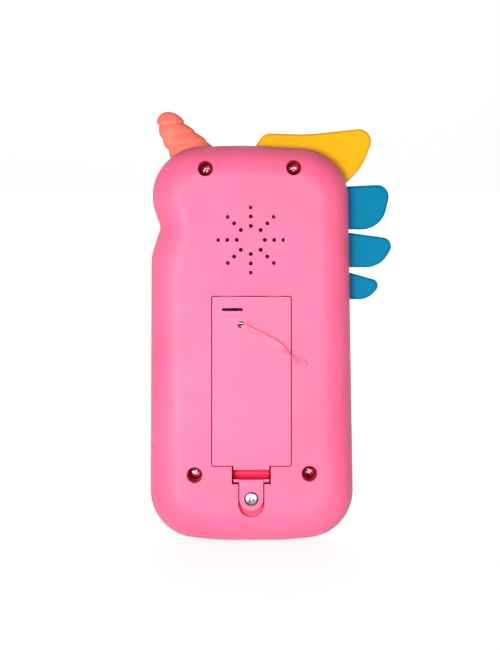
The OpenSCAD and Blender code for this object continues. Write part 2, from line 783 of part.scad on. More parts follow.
rear_case();
front_case();
horn();
mane_crest();
mane_tufts();
battery_cover();
cover_screw();
case_screws();
battery_left();
battery_right();
positive_contact();
negative_contact();
link_contact();
pull_tab();
battery_wires();
circuit_board();
board_screws();
sound_chip();
board_components();
leds();
speaker_frame();
speaker_magnet();
speaker_cone();
speaker_wires();
keypad_mat();
key_1();
key_2();
key_3();
key_4();
key_5();
key_6();
key_7();
key_8();
key_9();
key_star();
key_0();
key_hash();
key_call();
key_music();
key_light();
display_lens();
picture_card();
eye_insert();
nostril_insert();
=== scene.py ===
import bmesh
import bpy
import math
from mathutils import Matrix, Vector


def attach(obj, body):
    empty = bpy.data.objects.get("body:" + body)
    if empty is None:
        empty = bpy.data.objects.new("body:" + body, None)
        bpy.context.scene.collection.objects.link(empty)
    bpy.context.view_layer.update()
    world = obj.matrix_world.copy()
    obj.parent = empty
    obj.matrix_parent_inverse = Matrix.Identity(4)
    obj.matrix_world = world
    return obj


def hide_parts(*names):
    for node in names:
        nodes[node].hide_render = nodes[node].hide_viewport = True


mm = 0.001          # one millimetre in metres
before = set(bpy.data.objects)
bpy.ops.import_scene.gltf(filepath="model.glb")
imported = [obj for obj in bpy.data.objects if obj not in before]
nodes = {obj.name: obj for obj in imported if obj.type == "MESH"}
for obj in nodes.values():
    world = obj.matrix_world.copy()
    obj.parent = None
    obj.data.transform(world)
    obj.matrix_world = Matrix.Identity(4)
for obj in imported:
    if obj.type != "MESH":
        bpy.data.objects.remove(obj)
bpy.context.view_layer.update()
scene = bpy.context.scene
print("frame loaded,", len(nodes), "nodes")

# All shapes are drawn in millimetres and brought to metres by makePiece.
# X is to the right, Z is up, and the back of the phone faces -Y.

# Camera and light

view = dict(place=(1.5, -600, 95.9), lens=93.05, shift=(-0.0078, -0.0846))
stageLook = dict(floorHalf=2600, sweepY=1100, bend=420, wallTop=2300, glow=0.80, grey=0.25)

cameraData = bpy.data.cameras.new("camera")
camera = bpy.data.objects.new("camera", cameraData)
scene.collection.objects.link(camera)
camera.location = Vector(view["place"]) * mm
camera.rotation_euler = (math.radians(90), 0, 0)
cameraData.lens = view["lens"]
cameraData.shift_x, cameraData.shift_y = view["shift"]
cameraData.clip_start, cameraData.clip_end = 0.01, 20
scene.camera = camera
scene.view_settings.view_transform = "Standard"
scene.view_settings.look = "None"


def softLight(name, place, aim, size, power):
    data = bpy.data.lights.new(name, "AREA")
    data.shape = "RECTANGLE"
    data.size, data.size_y = size
    data.energy = power
    light = bpy.data.objects.new(name, data)
    scene.collection.objects.link(light)
    light.location = place
    light.rotation_euler = (Vector(aim) - Vector(place)).to_track_quat("-Z", "Y").to_euler()


softLight("keyLight", (-0.45, -1.08, 0.10), (0, 0, 0.06), (0.4, 0.3), 11)
softLight("fillLight", (0.32, -1.15, 0.12), (0, 0, 0.06), (0.4, 0.3), 6.5)
softLight("lowLight", (-0.11, -0.36, 0.03), (0, 0, 0.05), (0.12, 0.05), 0.95)
softLight("frontLight", (0.0, 1.02, 0.12), (0, 0, 0.07), (0.6, 0.4), 9)

world = bpy.data.worlds.new("studio")
scene.world = world
world.use_nodes = True
world.node_tree.nodes["Background"].inputs["Color"].default_value = (1, 1, 1, 1)
world.node_tree.nodes["Background"].inputs["Strength"].default_value = 0.25
print("camera and lights")

# Material tools


def newMaterial(name):
    material = bpy.data.materials.new(name)
    material.use_nodes = True
    tree = material.node_tree
    return material, tree, tree.nodes["Principled BSDF"]


def link(tree, source, target):
    tree.links.new(source, target)


# Noise on Object coordinates; size is the width of its features in millimetres
def noise(tree, size, detail=3, stretch=(1, 1, 1), rough=0.55):
    mapping = tree.nodes.new("ShaderNodeMapping")
    mapping.inputs["Scale"].default_value = stretch
    texture = tree.nodes.new("ShaderNodeTexNoise")
    texture.inputs["Scale"].default_value = 1000 / size
    texture.inputs["Detail"].default_value = detail
    texture.inputs["Roughness"].default_value = rough
    link(tree, objectPoint(tree), mapping.inputs["Vector"])
    link(tree, mapping.outputs["Vector"], texture.inputs["Vector"])
    return texture.outputs["Fac"]


def ramp(tree, value, low, high, lowColour, highColour):
    node = tree.nodes.new("ShaderNodeValToRGB")
    node.color_ramp.elements[0].position = low
    node.color_ramp.elements[1].position = high
    node.color_ramp.elements[0].color = (*lowColour, 1)
    node.color_ramp.elements[1].color = (*highColour, 1)
    link(tree, value, node.inputs["Fac"])
    return node.outputs["Color"]


# Steps of flat colour, each from its own position on
def bandRamp(tree, value, stops):
    node = tree.nodes.new("ShaderNodeValToRGB")
    elements = node.color_ramp.elements
    node.color_ramp.interpolation = "CONSTANT"
    for k, (position, colour) in enumerate(stops):
        element = elements[k] if k < 2 else elements.new(position)
        element.position, element.color = position, (*colour, 1)
    link(tree, value, node.inputs["Fac"])
    return node.outputs["Color"]


def remap(tree, value, low, high, toLow=0.0, toHigh=1.0, kind="LINEAR"):
    node = tree.nodes.new("ShaderNodeMapRange")
    node.interpolation_type = kind
    for socket, number in (("From Min", low), ("From Max", high), ("To Min", toLow), ("To Max", toHigh)):
        node.inputs[socket].default_value = number
    link(tree, value, node.inputs["Value"])
    return node.outputs["Result"]


# Brings the middle range of a noise to low..high
def spread(tree, value, low, high):
    return remap(tree, value, 0.3, 0.7, low, high)


# A math node, whose values are numbers or sockets
def maths(tree, operation, *values):
    node = tree.nodes.new("ShaderNodeMath")
    node.operation = operation
    for socket, value in zip(node.inputs, values):
        if isinstance(value, (float, int)):
            socket.default_value = value
        else:
            link(tree, value, socket)
    return node.outputs["Value"]


def objectPoint(tree):
    return tree.nodes.new("ShaderNodeTexCoord").outputs["Object"]


def separate(tree, point):
    node = tree.nodes.new("ShaderNodeSeparateXYZ")
    link(tree, point, node.inputs["Vector"])
    return node.outputs


# 1 inside a round spot on the back or the front, whatever the depth
def spotMask(tree, point, x, z, radius):
    flat = tree.nodes.new("ShaderNodeVectorMath")
    flat.operation = "MULTIPLY"
    flat.inputs[1].default_value = (1, 0, 1)
    link(tree, point, flat.inputs[0])
    gap = tree.nodes.new("ShaderNodeVectorMath")
    gap.operation = "DISTANCE"
    gap.inputs[1].default_value = (x * mm, 0, z * mm)
    link(tree, flat.outputs["Vector"], gap.inputs[0])
    return maths(tree, "LESS_THAN", gap.outputs["Value"], radius * mm)


def mixColour(tree, share, first, second, how="MIX"):
    node = tree.nodes.new("ShaderNodeMix")
    node.data_type = "RGBA"
    node.blend_type = how
    for socket, value in (("Factor_Float", share), ("A_Color", first), ("B_Color", second)):
        target = next(s for s in node.inputs if s.identifier == socket)
        if isinstance(value, (tuple, float, int)):
            target.default_value = value if isinstance(value, (float, int)) else (*value, 1)
        else:
            link(tree, value, target)
    return next(s for s in node.outputs if s.identifier == "Result_Color")


def bumpFrom(tree, shader, height, depth, strength=1.0):
    node = tree.nodes.new("ShaderNodeBump")
    node.inputs["Distance"].default_value = depth * mm
    node.inputs["Strength"].default_value = strength
    link(tree, height, node.inputs["Height"])
    link(tree, node.outputs["Normal"], shader.inputs["Normal"])


# Painted shade for the pockets of the rear shell, which turns deeper as they go down: each is x, z, radius and
# two depths
def pocketShadeMask(tree, shadePockets):
    point = objectPoint(tree)
    depth = separate(tree, point)["Y"]
    total = 0.0
    for x, z, radius, shallow, deep in shadePockets:
        sunk = remap(tree, depth, shallow * mm, deep * mm, kind="SMOOTHSTEP")
        pocket = maths(tree, "MULTIPLY", spotMask(tree, point, x, z, radius), sunk)
        total = maths(tree, "MAXIMUM", total, pocket)
    rear = maths(tree, "LESS_THAN", depth, 1.2 * mm)        # the front shell starts beyond this
    return maths(tree, "MULTIPLY", total, rear)


# Moulded plastic: cloudy colour, satin gloss that varies, a fine grain, a few moulding specks, and painted
# shade in given pockets
def plastic(name, look):
    material, tree, shader = newMaterial(name)
    clouds = noise(tree, look.get("cloud", 26), 3)
    colour = ramp(tree, clouds, 0.32, 0.7, look["deep"], look["colour"])
    if look.get("specks"):
        specks = noise(tree, 1.6, 1, rough=0.3)
        mask = ramp(tree, specks, 0.80, 0.86, (0, 0, 0), (1, 1, 1))
        colour = mixColour(tree, mask, colour, look["specks"])
    # painted shade: the given pockets are coloured deep red in place of the shade that lies down in them
    if look.get("shadePockets"):
        colour = mixColour(tree, pocketShadeMask(tree, look["shadePockets"]), colour, look["pocketShadeColour"])
    link(tree, colour, shader.inputs["Base Color"])
    low, high = look["roughness"]
    link(tree, spread(tree, noise(tree, 7, 4), low, high), shader.inputs["Roughness"])
    bumpFrom(tree, shader, noise(tree, look.get("grain", 0.5), 2), look.get("grainDepth", 0.012), 0.5)
    shader.inputs["IOR"].default_value = 1.5
    shader.inputs["Specular IOR Level"].default_value = look.get("specular", 0.5)
    shader.inputs["Subsurface Weight"].default_value = look.get("glow", 0.0)
    shader.inputs["Subsurface Radius"].default_value = (1.0, 0.35, 0.45)
    shader.inputs["Subsurface Scale"].default_value = 0.002
    return material


def metal(name, look):
    material, tree, shader = newMaterial(name)
    colour = ramp(tree, noise(tree, look.get("cloud", 2.5), 4), 0.3, 0.7, look["deep"], look["colour"])
    link(tree, colour, shader.inputs["Base Color"])
    shader.inputs["Metallic"].default_value = look.get("metallic", 1.0)
    low, high = look["roughness"]
    link(tree, spread(tree, noise(tree, look.get("wear", 0.6), 4), low, high), shader.inputs["Roughness"])
    bumpFrom(tree, shader, noise(tree, look.get("grain", 0.25), 3), look.get("grainDepth", 0.01), 0.5)
    return material


finishes = dict(
    coral=plastic("coralPlastic", dict(
        colour=(0.60, 0.125, 0.088), deep=(0.55, 0.100, 0.070), roughness=(0.42, 0.52), cloud=9,
        glow=0.05, specular=0.15)),
    yellow=plastic("yellowPlastic", dict(
        colour=(0.56, 0.262, 0.0), deep=(0.54, 0.240, 0.0), roughness=(0.40, 0.50), cloud=14, specular=0.06)),
    blue=plastic("bluePlastic", dict(
        colour=(0.0, 0.128, 0.238), deep=(0.0, 0.112, 0.212), roughness=(0.40, 0.50), cloud=11, specular=0.03)),
    green=plastic("greenPlastic", dict(
        colour=(0.02, 0.19, 0.045), deep=(0.015, 0.16, 0.035), roughness=(0.34, 0.44), cloud=8, specular=0.3)),
    violet=plastic("violetPlastic", dict(
        colour=(0.12, 0.055, 0.25), deep=(0.10, 0.045, 0.22), roughness=(0.34, 0.44), cloud=8, specular=0.3)),
    red=plastic("redPlastic", dict(
        colour=(0.40, 0.012, 0.02), deep=(0.35, 0.010, 0.016), roughness=(0.34, 0.44), cloud=8, specular=0.3)),
    white=plastic("whitePrint", dict(
        colour=(0.42, 0.42, 0.41), deep=(0.38, 0.38, 0.37), roughness=(0.40, 0.50), cloud=3, specular=0.3)),
    bright=metal("brightScrew", dict(
        colour=(0.42, 0.47, 0.46), deep=(0.10, 0.14, 0.14), roughness=(0.18, 0.38), grainDepth=0.03)),
    # case screws: steel with its own random tone, tinted pink-red as a painted reflection of the pink wells
    # around them
    dark=metal("caseScrew", dict(
        colour=(0.62, 0.30, 0.36), deep=(0.34, 0.06, 0.12), roughness=(0.12, 0.28), grainDepth=0.03)),
    nostril=plastic("nostrilPink", dict(
        colour=(0.50, 0.03, 0.10), deep=(0.44, 0.025, 0.085), roughness=(0.30, 0.40), cloud=4, specular=0.3)),
)
print("materials")

# Shape tools


# Face of a filleted outline in a plane of constant y; each corner is x, z, radius, steps
def outlineFace(bm, corners, y, towards):
    spots = [Vector((c[0], y, c[1])) for c in corners]
    ends = []
    for i, corner in enumerate(corners):
        into = (spots[i] - spots[i - 1]).normalized()
        out = (spots[(i + 1) % len(spots)] - spots[i]).normalized()
        turn = math.atan2(into.x * out.z - into.z * out.x, into.dot(out))
        side = 1 if turn > 0 else -1
        start = spots[i] - into * corner[2] * math.tan(abs(turn) / 2)
        centre = start + Vector((-into.z, 0, into.x)) * side * corner[2]
        first = bmesh.ops.create_vert(bm, co=start)["vert"][0]
        swept = bmesh.ops.spin(bm, geom=[first], cent=centre, axis=(0, -1, 0), angle=turn, steps=corner[3])
        last = next(v for v in swept["geom_last"] if isinstance(v, bmesh.types.BMVert))
        ends.append((first, last))
    for i in range(len(ends)):
        bm.edges.new((ends[i - 1][1], ends[i][0]))
    loose = [e for e in bm.edges if not e.link_faces]
    face = bmesh.ops.contextual_create(bm, geom=loose)["faces"][0]
    face.normal_update()
    if face.normal.y * towards < 0:
        face.normal_flip()
    return face


# Carries a face through levels of inset and y, so that its walls follow a rounded edge
def layers(bm, face, levels):
    for (insetA, yA), (insetB, yB) in zip(levels, levels[1:]):
        face.normal_update()
        bmesh.ops.inset_region(bm, faces=[face], thickness=insetB - insetA,
                               depth=(yB - yA) * face.normal.y, use_even_offset=True)
        for vert in face.verts:
            vert.co.y = yB          # keeps the face dead flat for the cuts that follow
    return face


# Levels of a rounded edge, from a straight wall at y0 to a flat face at y1
def rounded(inset, reach, y0, y1, steps):
    turn = [math.pi / 2 * k / steps for k in range(1, steps + 1)]
    return [(inset + reach * (1 - math.cos(a)), y0 + (y1 - y0) * math.sin(a)) for a in turn]


# Closed plate on an outline: it runs from a wall y0 to y1, each end with its own edge rounding
def plate(bm, corners, y0, y1, edge0=0.0, edge1=0.0, steps=4):
    towards = 1 if y1 > y0 else -1
    bottom = outlineFace(bm, corners, y0 + towards * edge0, -towards)
    raised = bmesh.ops.extrude_face_region(bm, geom=[bottom], use_keep_orig=True)
    top = next(f for f in raised["geom"] if isinstance(f, bmesh.types.BMFace))
    shift = y1 - y0 - towards * (edge0 + edge1)
    bmesh.ops.translate(bm, vec=(0, shift, 0), verts=top.verts)
    top.normal_update()
    if top.normal.y * towards < 0:
        top.normal_flip()
    bottom.normal_update()
    if bottom.normal.y * towards > 0:
        bottom.normal_flip()
    if edge1:
        start = y1 - towards * edge1
        layers(bm, top, [(0, start)] + rounded(0, edge1, start, y1, steps))
    if edge0:
        start = y0 + towards * edge0
        layers(bm, bottom, [(0, start)] + rounded(0, edge0, start, y0, steps))
    return top, bottom


# Solid of revolution about a line along Y through x, z; the profile is radius, y
def turned(bm, place, profile, steps=48):
    verts = [bmesh.ops.create_vert(bm, co=(place[0] + r, y, place[1]))["vert"][0] for r, y in profile]
    edges = [bm.edges.new(pair) for pair in zip(verts, verts[1:])]
    before = set(bm.verts)
    bmesh.ops.spin(bm, geom=verts + edges, cent=(place[0], 0, place[1]), axis=(0, 1, 0),
                   angle=2 * math.pi, steps=steps, use_merge=True)
    fresh = verts + [v for v in bm.verts if v not in before]
    bmesh.ops.remove_doubles(bm, verts=fresh, dist=0.0005)


def block(bm, low, high, edge=0.0, segments=2):
    low, high = Vector(low), Vector(high)
    size = Matrix.Diagonal((*(high - low), 1))
    made = bmesh.ops.create_cube(bm, size=1, matrix=Matrix.Translation((low + high) / 2) @ size)
    if edge:
        edges = list({e for v in made["verts"] for e in v.link_edges})
        bmesh.ops.bevel(bm, geom=edges, offset=edge, offset_type="OFFSET", affect="EDGES",
                        segments=segments, profile=0.5, material=-1)


def roundRect(centre, width, height, radius, steps=6):
    x, z = centre
    w, h = width / 2, height / 2
    return [(x - w, z - h, radius, steps), (x + w, z - h, radius, steps),
            (x + w, z + h, radius, steps), (x - w, z + h, radius, steps)]


def looseObject(name, bm):
    bmesh.ops.remove_doubles(bm, verts=bm.verts, dist=0.0002)
    bmesh.ops.recalc_face_normals(bm, faces=bm.faces)
    mesh = bpy.data.meshes.new(name)
    bm.to_mesh(mesh)
    bm.free()
    body = bpy.data.objects.new(name, mesh)
    scene.collection.objects.link(body)
    return body


# Applies whatever modifiers an object has to its mesh
def settle(body):
    graph = bpy.context.evaluated_depsgraph_get()
    mesh = bpy.data.meshes.new_from_object(body.evaluated_get(graph))
    bm = bmesh.new()
    bm.from_mesh(mesh)
    bmesh.ops.remove_doubles(bm, verts=bm.verts, dist=0.001)
    bmesh.ops.dissolve_degenerate(bm, edges=bm.edges, dist=0.0005)
    bm.to_mesh(mesh)
    bm.free()
    old = body.data
    body.modifiers.clear()
    body.data = mesh
    bpy.data.meshes.remove(old)


def combine(body, how, tool):
    step = body.modifiers.new(how, "BOOLEAN")
    step.operation = how
    step.solver = "EXACT"
    step.object = tool
    settle(body)
    bpy.data.objects.remove(tool)


def makePiece(name, source, material, body, replaces=(), sharp=34, weighted=True):
    piece = looseObject(name, source) if isinstance(source, bmesh.types.BMesh) else source
    piece.name = name
    mesh = piece.data
    mesh.name = name
    mesh.transform(Matrix.Scale(mm, 4))
    mesh.materials.clear()
    mesh.materials.append(material)
    mesh.polygons.foreach_set("use_smooth", [True] * len(mesh.polygons))
    mesh.set_sharp_from_angle(angle=math.radians(sharp))
    if weighted:
        normals = piece.modifiers.new("normals", "WEIGHTED_NORMAL")
        normals.keep_sharp = True
        normals.weight = 90
    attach(piece, body)
    if replaces:
        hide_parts(*replaces)
    return piece


# Values of both shells and of what is cut into them

case = dict(
    corners=[(-11, 0, 80, 4), (-35.7, 2.4, 17, 14), (-35.4, 101, 18, 6), (-32.1, 111, 3.5, 8),
             (-42.1, 138.6, 17.6, 16), (-4, 140.3, 150, 4), (34.4, 138.3, 17.6, 14),
             (36.5, 2.4, 17, 14), (11, 0, 80, 4)],
    parting=1.5, wall=2, lip=0.22,
    back=-14, backBand=-2, backRound=11.5, backInner=-12,
    front=10, frontBand=3, frontRound=6, frontInner=8,
    roundSteps=12,
)
wells = dict(
    places=[(-15.9, 131.4), (15, 131.7), (-19.6, 24.3), (20.5, 24.8)],
    radius=2.7, floor=-5.5, lip=0.3, bossRadius=3.8, bossEnd=1.3,
)
grille = dict(centre=(0, 106.4), rays=8, rings=(4.9, 8.2, 11.4), hole=0.7, lip=0.1)
bay = dict(x=(-11.9, 12.4), z=(28.6, 78.2), floor=-0.8, rail=1.95, wall=1.5, endWall=1.2)
latch = dict(
    x=0.2, halfWidth=6.25, top=27.2, bottom=21.75, depth=-7, strip=1.0, ledge=-13.2,
    pocketZ=24.5, pocketWidth=13.9, pocketHeight=6.9, blockHalf=7.8, blockFoot=20, blockWall=1.4,
)
tongue = dict(
    z=16, radius=4.2, top=22.75, floor=-11.4, head=2.5, headFloor=-12.6, shaft=1,
    gap=0.46, recessZ=14.2, recessTop=22.4, padHalf=5.8, padZ=(8, 20.5), padWall=1.7,
    bossRadius=3.5, bossY=(-11, -5), pilot=1.25,
)
cover = dict(
    centre=(0.25, 57.1), width=27.5, height=59, radius=0.6, seam=0.3, thick=1.8, edge=0.16,
    slot=((-6.4, 82.1), 7.4, 1.05), hole=((-3.3, 76.8), 1.2),
)
hooks = dict(x=(-8, 8.5), half=2.5, root=(84.4, 86.4), reach=(86.0, 89.0), top=-10.3, under=-11.85)
flare = 0.15                            # rounding of the mouths' rims
almost = 0.999                          # keeps two arcs of one outline from meeting

# Painted shade: the screw wells, the latch trough and the tongue recess turn deep red as they go down, standing
# in for the shade inside them
paintedShadeRed = (0.62, 0.012, 0.05)
shellShadePockets = [(x, z, wells["radius"] + 0.04, -13.9, -10) for x, z in wells["places"]]
shellShadePockets += [(latch["x"], latch["pocketZ"], 8, -13.9, -9), (latch["x"], 15.5, 5.6, -13.95, -9.5)]
finishes["pinkShell"] = plastic("pinkShell", dict(
    colour=(0.62, 0.097, 0.192), deep=(0.59, 0.082, 0.168), roughness=(0.40, 0.50),
    specks=(0.36, 0.025, 0.07), cloud=30, glow=0.05, specular=0.2,
    pocketShadeColour=paintedShadeRed, shadePockets=shellShadePockets))
finishes["pinkCover"] = plastic("pinkCover", dict(
    colour=(0.62, 0.103, 0.200), deep=(0.60, 0.092, 0.182), roughness=(0.38, 0.48),
    cloud=22, glow=0.05, specular=0.2,
    pocketShadeColour=paintedShadeRed, shadePockets=[(latch["x"], latch["pocketZ"], 8, -12.9, -10.5)]))


# Cutter that opens out in a small rounded lip where it meets the face
def lippedHole(bm, place, radius, face, floor, lip, steps):
    out = 1 if face > floor else -1
    rim = [(radius + lip * (1 - math.cos(a)), face - out * lip * (1 - math.sin(a)))
           for a in (0, math.radians(30), math.radians(60), math.radians(90))]
    mouth = [(radius + lip, face + out), (0, face + out)]
    turned(bm, place, [(0, floor), (radius, floor)] + rim + mouth, steps)


# The same for any outline, which is given at the mouth, where it is widest
def lippedPrism(bm, corners, face, floor, lip):
    out = 1 if face > floor else -1
    top = plate(bm, corners, face + out, face)[0]
    turn = [math.radians(a) for a in (0, 30, 60, 90)]
    layers(bm, top, [(lip * math.sin(a), face - out * lip * (1 - math.cos(a))) for a in turn])
    bmesh.ops.inset_region(bm, faces=[top], thickness=0.0, depth=abs(floor - face) - lip)


# Outline of the tongue or its recess: a half round at the foot, two small corners at the top
def tongueOutline(half, z, top, corner, steps):
    left, right = latch["x"] - half, latch["x"] + half
    return [(left, z - half, half * almost, 16), (right, z - half, half * almost, 16),
            (right, top, corner, steps), (left, top, corner, steps)]


# Rounded half of the case, either solid or as the hollow inside it
def caseHalf(faceY, bandY, roundIn, startY, wallIn=0.0, lip=0.0):
    bm = bmesh.new()
    if wallIn:
        start = outlineFace(bm, case["corners"], startY, 1 if startY > bandY else -1)
        bmesh.ops.inset_region(bm, faces=[start], thickness=wallIn, depth=0, use_even_offset=True)
        bmesh.ops.delete(bm, geom=[f for f in bm.faces if f is not start], context="FACES")
        raised = bmesh.ops.extrude_face_region(bm, geom=[start], use_keep_orig=True)
        top = next(f for f in raised["geom"] if isinstance(f, bmesh.types.BMFace))
        bmesh.ops.translate(bm, vec=(0, bandY - startY, 0), verts=top.verts)
        top.normal_update()
        if top.normal.y * (bandY - startY) < 0:
            top.normal_flip()
    else:
        top, start = plate(bm, case["corners"], startY, bandY)
    layers(bm, top, [(0, bandY)] + rounded(0, roundIn, bandY, faceY, case["roundSteps"]))
    if lip:
        start.normal_update()
        bmesh.ops.inset_region(bm, faces=[start], thickness=lip, depth=lip, use_even_offset=True)
    return bm


def solid(name, draw, *values):
    bm = bmesh.new()
    draw(bm, *values)
    return looseObject(name, bm)


# Plain round post or hole along Y
def post(bm, place, radius, y0, y1, steps):
    turned(bm, place, [(0, y0), (radius, y0), (radius, y1), (0, y1)], steps)


# The horn

# Each ring is left x, z and right x, z at a groove, from the root up
horn = dict(
    grooves=[(-26.8, 132.7, -11.6, 137.4), (-29.4, 138.9, -16.1, 142.0), (-31.6, 143.0, -20.0, 145.2),
             (-32.8, 147.8, -24.3, 148.5)],
    tip=(-30.0, 152.5), y=1.6, depth=(3.4, 2.8), bulge=0.75, crestAt=0.3, sides=40,
    ribSteps=(0.0, 0.05, 0.12, 0.2, 0.27, 0.34, 0.5, 0.7, 0.88, 0.96),
    domeSteps=(12, 28, 44, 58, 70, 80),
)


# Lays a loop of verts on a squarish round section from left to right
def hornRing(left, right, depth, loop):
    middle, half = (left + right) / 2, (right - left) / 2
    flat = 0.8                      # under 1 the round section turns squarer
    for k, vert in enumerate(loop):
        a = 2 * math.pi * k / len(loop)
        across = math.copysign(abs(math.cos(a)) ** flat, math.cos(a))
        deep = math.copysign(abs(math.sin(a)) ** flat, math.sin(a))
        vert.co = middle + half * across + Vector((0, depth * deep, 0))


# Puts the verts of an extruded loop in the order of the loop that they came from
def followLoop(loop, before):
    loop = list(loop)
    return [next(e.other_vert(v) for e in v.link_edges if e.other_vert(v) in loop) for v in before]


# How far a rib stands out at t, from 0 at its lower groove to 1 at its upper one
def ribSwell(t):
    crest = horn["crestAt"]
    if t < crest:
        return math.sin(math.pi / 2 * t / crest) * horn["bulge"]
    return math.cos(math.pi / 2 * (t - crest) / (1 - crest)) ** 0.8 * horn["bulge"]


# Ribbed horn, grown on all sides where it cuts its own slot
def drawHorn(bm, grow):
    rings = []
    last = len(horn["grooves"]) - 1

    def ends(g):
        i = min(int(g), last - 1)
        low, high = horn["grooves"][i], horn["grooves"][i + 1]
        mix = [a + (b - a) * (g - i) for a, b in zip(low, high)]
        return Vector((mix[0], horn["y"], mix[1])), Vector((mix[2], horn["y"], mix[3]))

    for band in range(last):
        for t in horn["ribSteps"]:
            g, swell = band + t, ribSwell(t)
            left, right = ends(g)
            depth = horn["depth"][0] + (horn["depth"][1] - horn["depth"][0]) * g / last + swell * 0.75 - 0.35
            out = Vector((swell + grow, 0, 0))
            rings.append((left - out, right + out, depth + grow))
    left, right = ends(last)
    tip = Vector((horn["tip"][0], horn["y"], horn["tip"][1]))
    middle, half = (left + right) / 2, (right - left) / 2
    for angle in (0, 6) + horn["domeSteps"]:
        a = math.radians(angle)
        out = 1.0 if angle == 0 else 1 + 0.16 * math.cos(a)
        at = middle + (tip - middle) * math.sin(a)
        depth = (horn["depth"][1] - (0.35 if angle == 0 else 0.1)) * math.cos(a)
        rings.append((at - half * out * math.cos(a), at + half * out * math.cos(a), depth + grow))
    circle = bmesh.ops.create_circle(bm, cap_ends=True, segments=horn["sides"], radius=1)["verts"]
    hornRing(*rings[0], circle)
    bm.faces.ensure_lookup_table()
    face = bm.faces[0]
    for left, right, depth in rings[1:]:
        inside = [face] if len(bm.faces) > 1 else []
        raised = bmesh.ops.extrude_face_region(bm, geom=[face])
        face = next(f for f in raised["geom"] if isinstance(f, bmesh.types.BMFace))
        bmesh.ops.delete(bm, geom=inside, context="FACES_ONLY")
        circle = followLoop(face.verts, circle)
        hornRing(left, right, depth, circle)
    bmesh.ops.poke(bm, faces=[face])
    top = max(bm.verts, key=lambda v: v.co.z)
    top.co = tip


makePiece("horn", solid("horn", drawHorn, 0.0), finishes["coral"], "phone",
          ["horn"], sharp=60)
print("horn")

# Crest and mane

mane = dict(
    crest=[(-0.6, 136.6, 1.4, 4), (4.6, 144.7, 4.5, 8), (20, 144.2, 60, 4), (45.2, 146.9, 4.4, 12),
           (39.6, 132.4, 22, 6), (32.4, 125.4, 1.4, 4), (26, 131.9, 6, 6), (20, 136.4, 6, 6)],
    crestY=(-1.2, 4.4), tuftY=(-1.0, 4.0), edge=1.1,
    tufts=[
        [(31, 125.6, 1.2, 4), (50.4, 126.5, 4.2, 12), (46.6, 110.2, 9, 10), (31, 110.6, 1.2, 4)],
        [(31, 109.8, 1.2, 4), (52, 106.9, 3.2, 12), (46.2, 96.8, 9, 10), (31, 96.9, 1.2, 4)],
        [(31, 96.2, 1.2, 4), (47.4, 91.6, 2.4, 10), (41.6, 85.4, 7, 10), (31, 85.5, 1.2, 4)]],
    spine=((29.6, -0.6, 84.5), (32.1, 3.6, 122)),
)


def drawLeaf(bm, corners, y, grow):
    edge = 0.0 if grow else mane["edge"]
    plate(bm, corners, y[0] - grow, y[1] + grow, edge, edge, 5)


makePiece("mane_crest", solid("mane_crest", drawLeaf, mane["crest"], mane["crestY"], 0.0),
          finishes["yellow"], "phone", ["mane_crest"], sharp=60)

tuftPieces = bmesh.new()
for corners in mane["tufts"]:
    drawLeaf(tuftPieces, corners, mane["tuftY"], 0.0)
block(tuftPieces, *mane["spine"], edge=0.3)
makePiece("mane_tufts", tuftPieces, finishes["blue"], "phone", ["mane_tufts"], sharp=60)
print("crest and mane")

# The rear case

rear = looseObject("rear_case", caseHalf(case["back"], case["backBand"], case["backRound"],
                                         case["parting"] - case["lip"], 0.0, case["lip"]))
combine(rear, "DIFFERENCE", looseObject("hollow", caseHalf(
    case["backInner"], case["backBand"], case["backRound"] - case["wall"], case["parting"] + 1, case["wall"])))

bosses = bmesh.new()
for place in wells["places"]:
    post(bosses, place, wells["bossRadius"], -12.6, wells["bossEnd"], 32)
bosses = looseObject("bosses", bosses)
combine(bosses, "INTERSECT", looseObject("inWall", caseHalf(
    case["back"] + 0.7, case["backBand"], case["backRound"] - 0.7, case["parting"] - 0.1, 0.7)))
combine(rear, "UNION", bosses)

inside = case["backInner"] - 0.05
bayBlock = solid("bayBlock", block, (bay["x"][0] - bay["rail"], inside, bay["z"][0] - bay["endWall"]),
                 (bay["x"][1] + bay["rail"], bay["floor"] + bay["wall"], bay["z"][1] + bay["wall"]))
combine(bayBlock, "DIFFERENCE", solid("bayHollow", block, (bay["x"][0], -14, bay["z"][0]),
                                      (bay["x"][1], bay["floor"], bay["z"][1]), 0.4))
combine(rear, "UNION", bayBlock)
for name, half, top, foot, end in (
        ("latchBlock", latch["blockHalf"], latch["depth"] + latch["blockWall"],
         latch["blockFoot"], bay["z"][0] - 0.3),
        ("tonguePad", tongue["padHalf"], tongue["floor"] + tongue["padWall"], *tongue["padZ"])):
    combine(rear, "UNION", solid(name, block, (latch["x"] - half, inside, foot), (latch["x"] + half, top, end)))
screwSpot = (latch["x"], tongue["z"])
combine(rear, "UNION", solid("tongueBoss", post, screwSpot, tongue["bossRadius"], *tongue["bossY"], 32))

holes = bmesh.new()
for place in wells["places"]:
    lippedHole(holes, place, wells["radius"], case["back"], wells["floor"], wells["lip"], 40)
for ray in range(grille["rays"]):
    for ring in grille["rings"]:
        a = math.radians(45 * ray)
        spot = (grille["centre"][0] + ring * math.cos(a), grille["centre"][1] + ring * math.sin(a))
        lippedHole(holes, spot, grille["hole"], case["back"], case["backInner"] + 0.5, grille["lip"], 16)
combine(rear, "DIFFERENCE", looseObject("holes", holes))

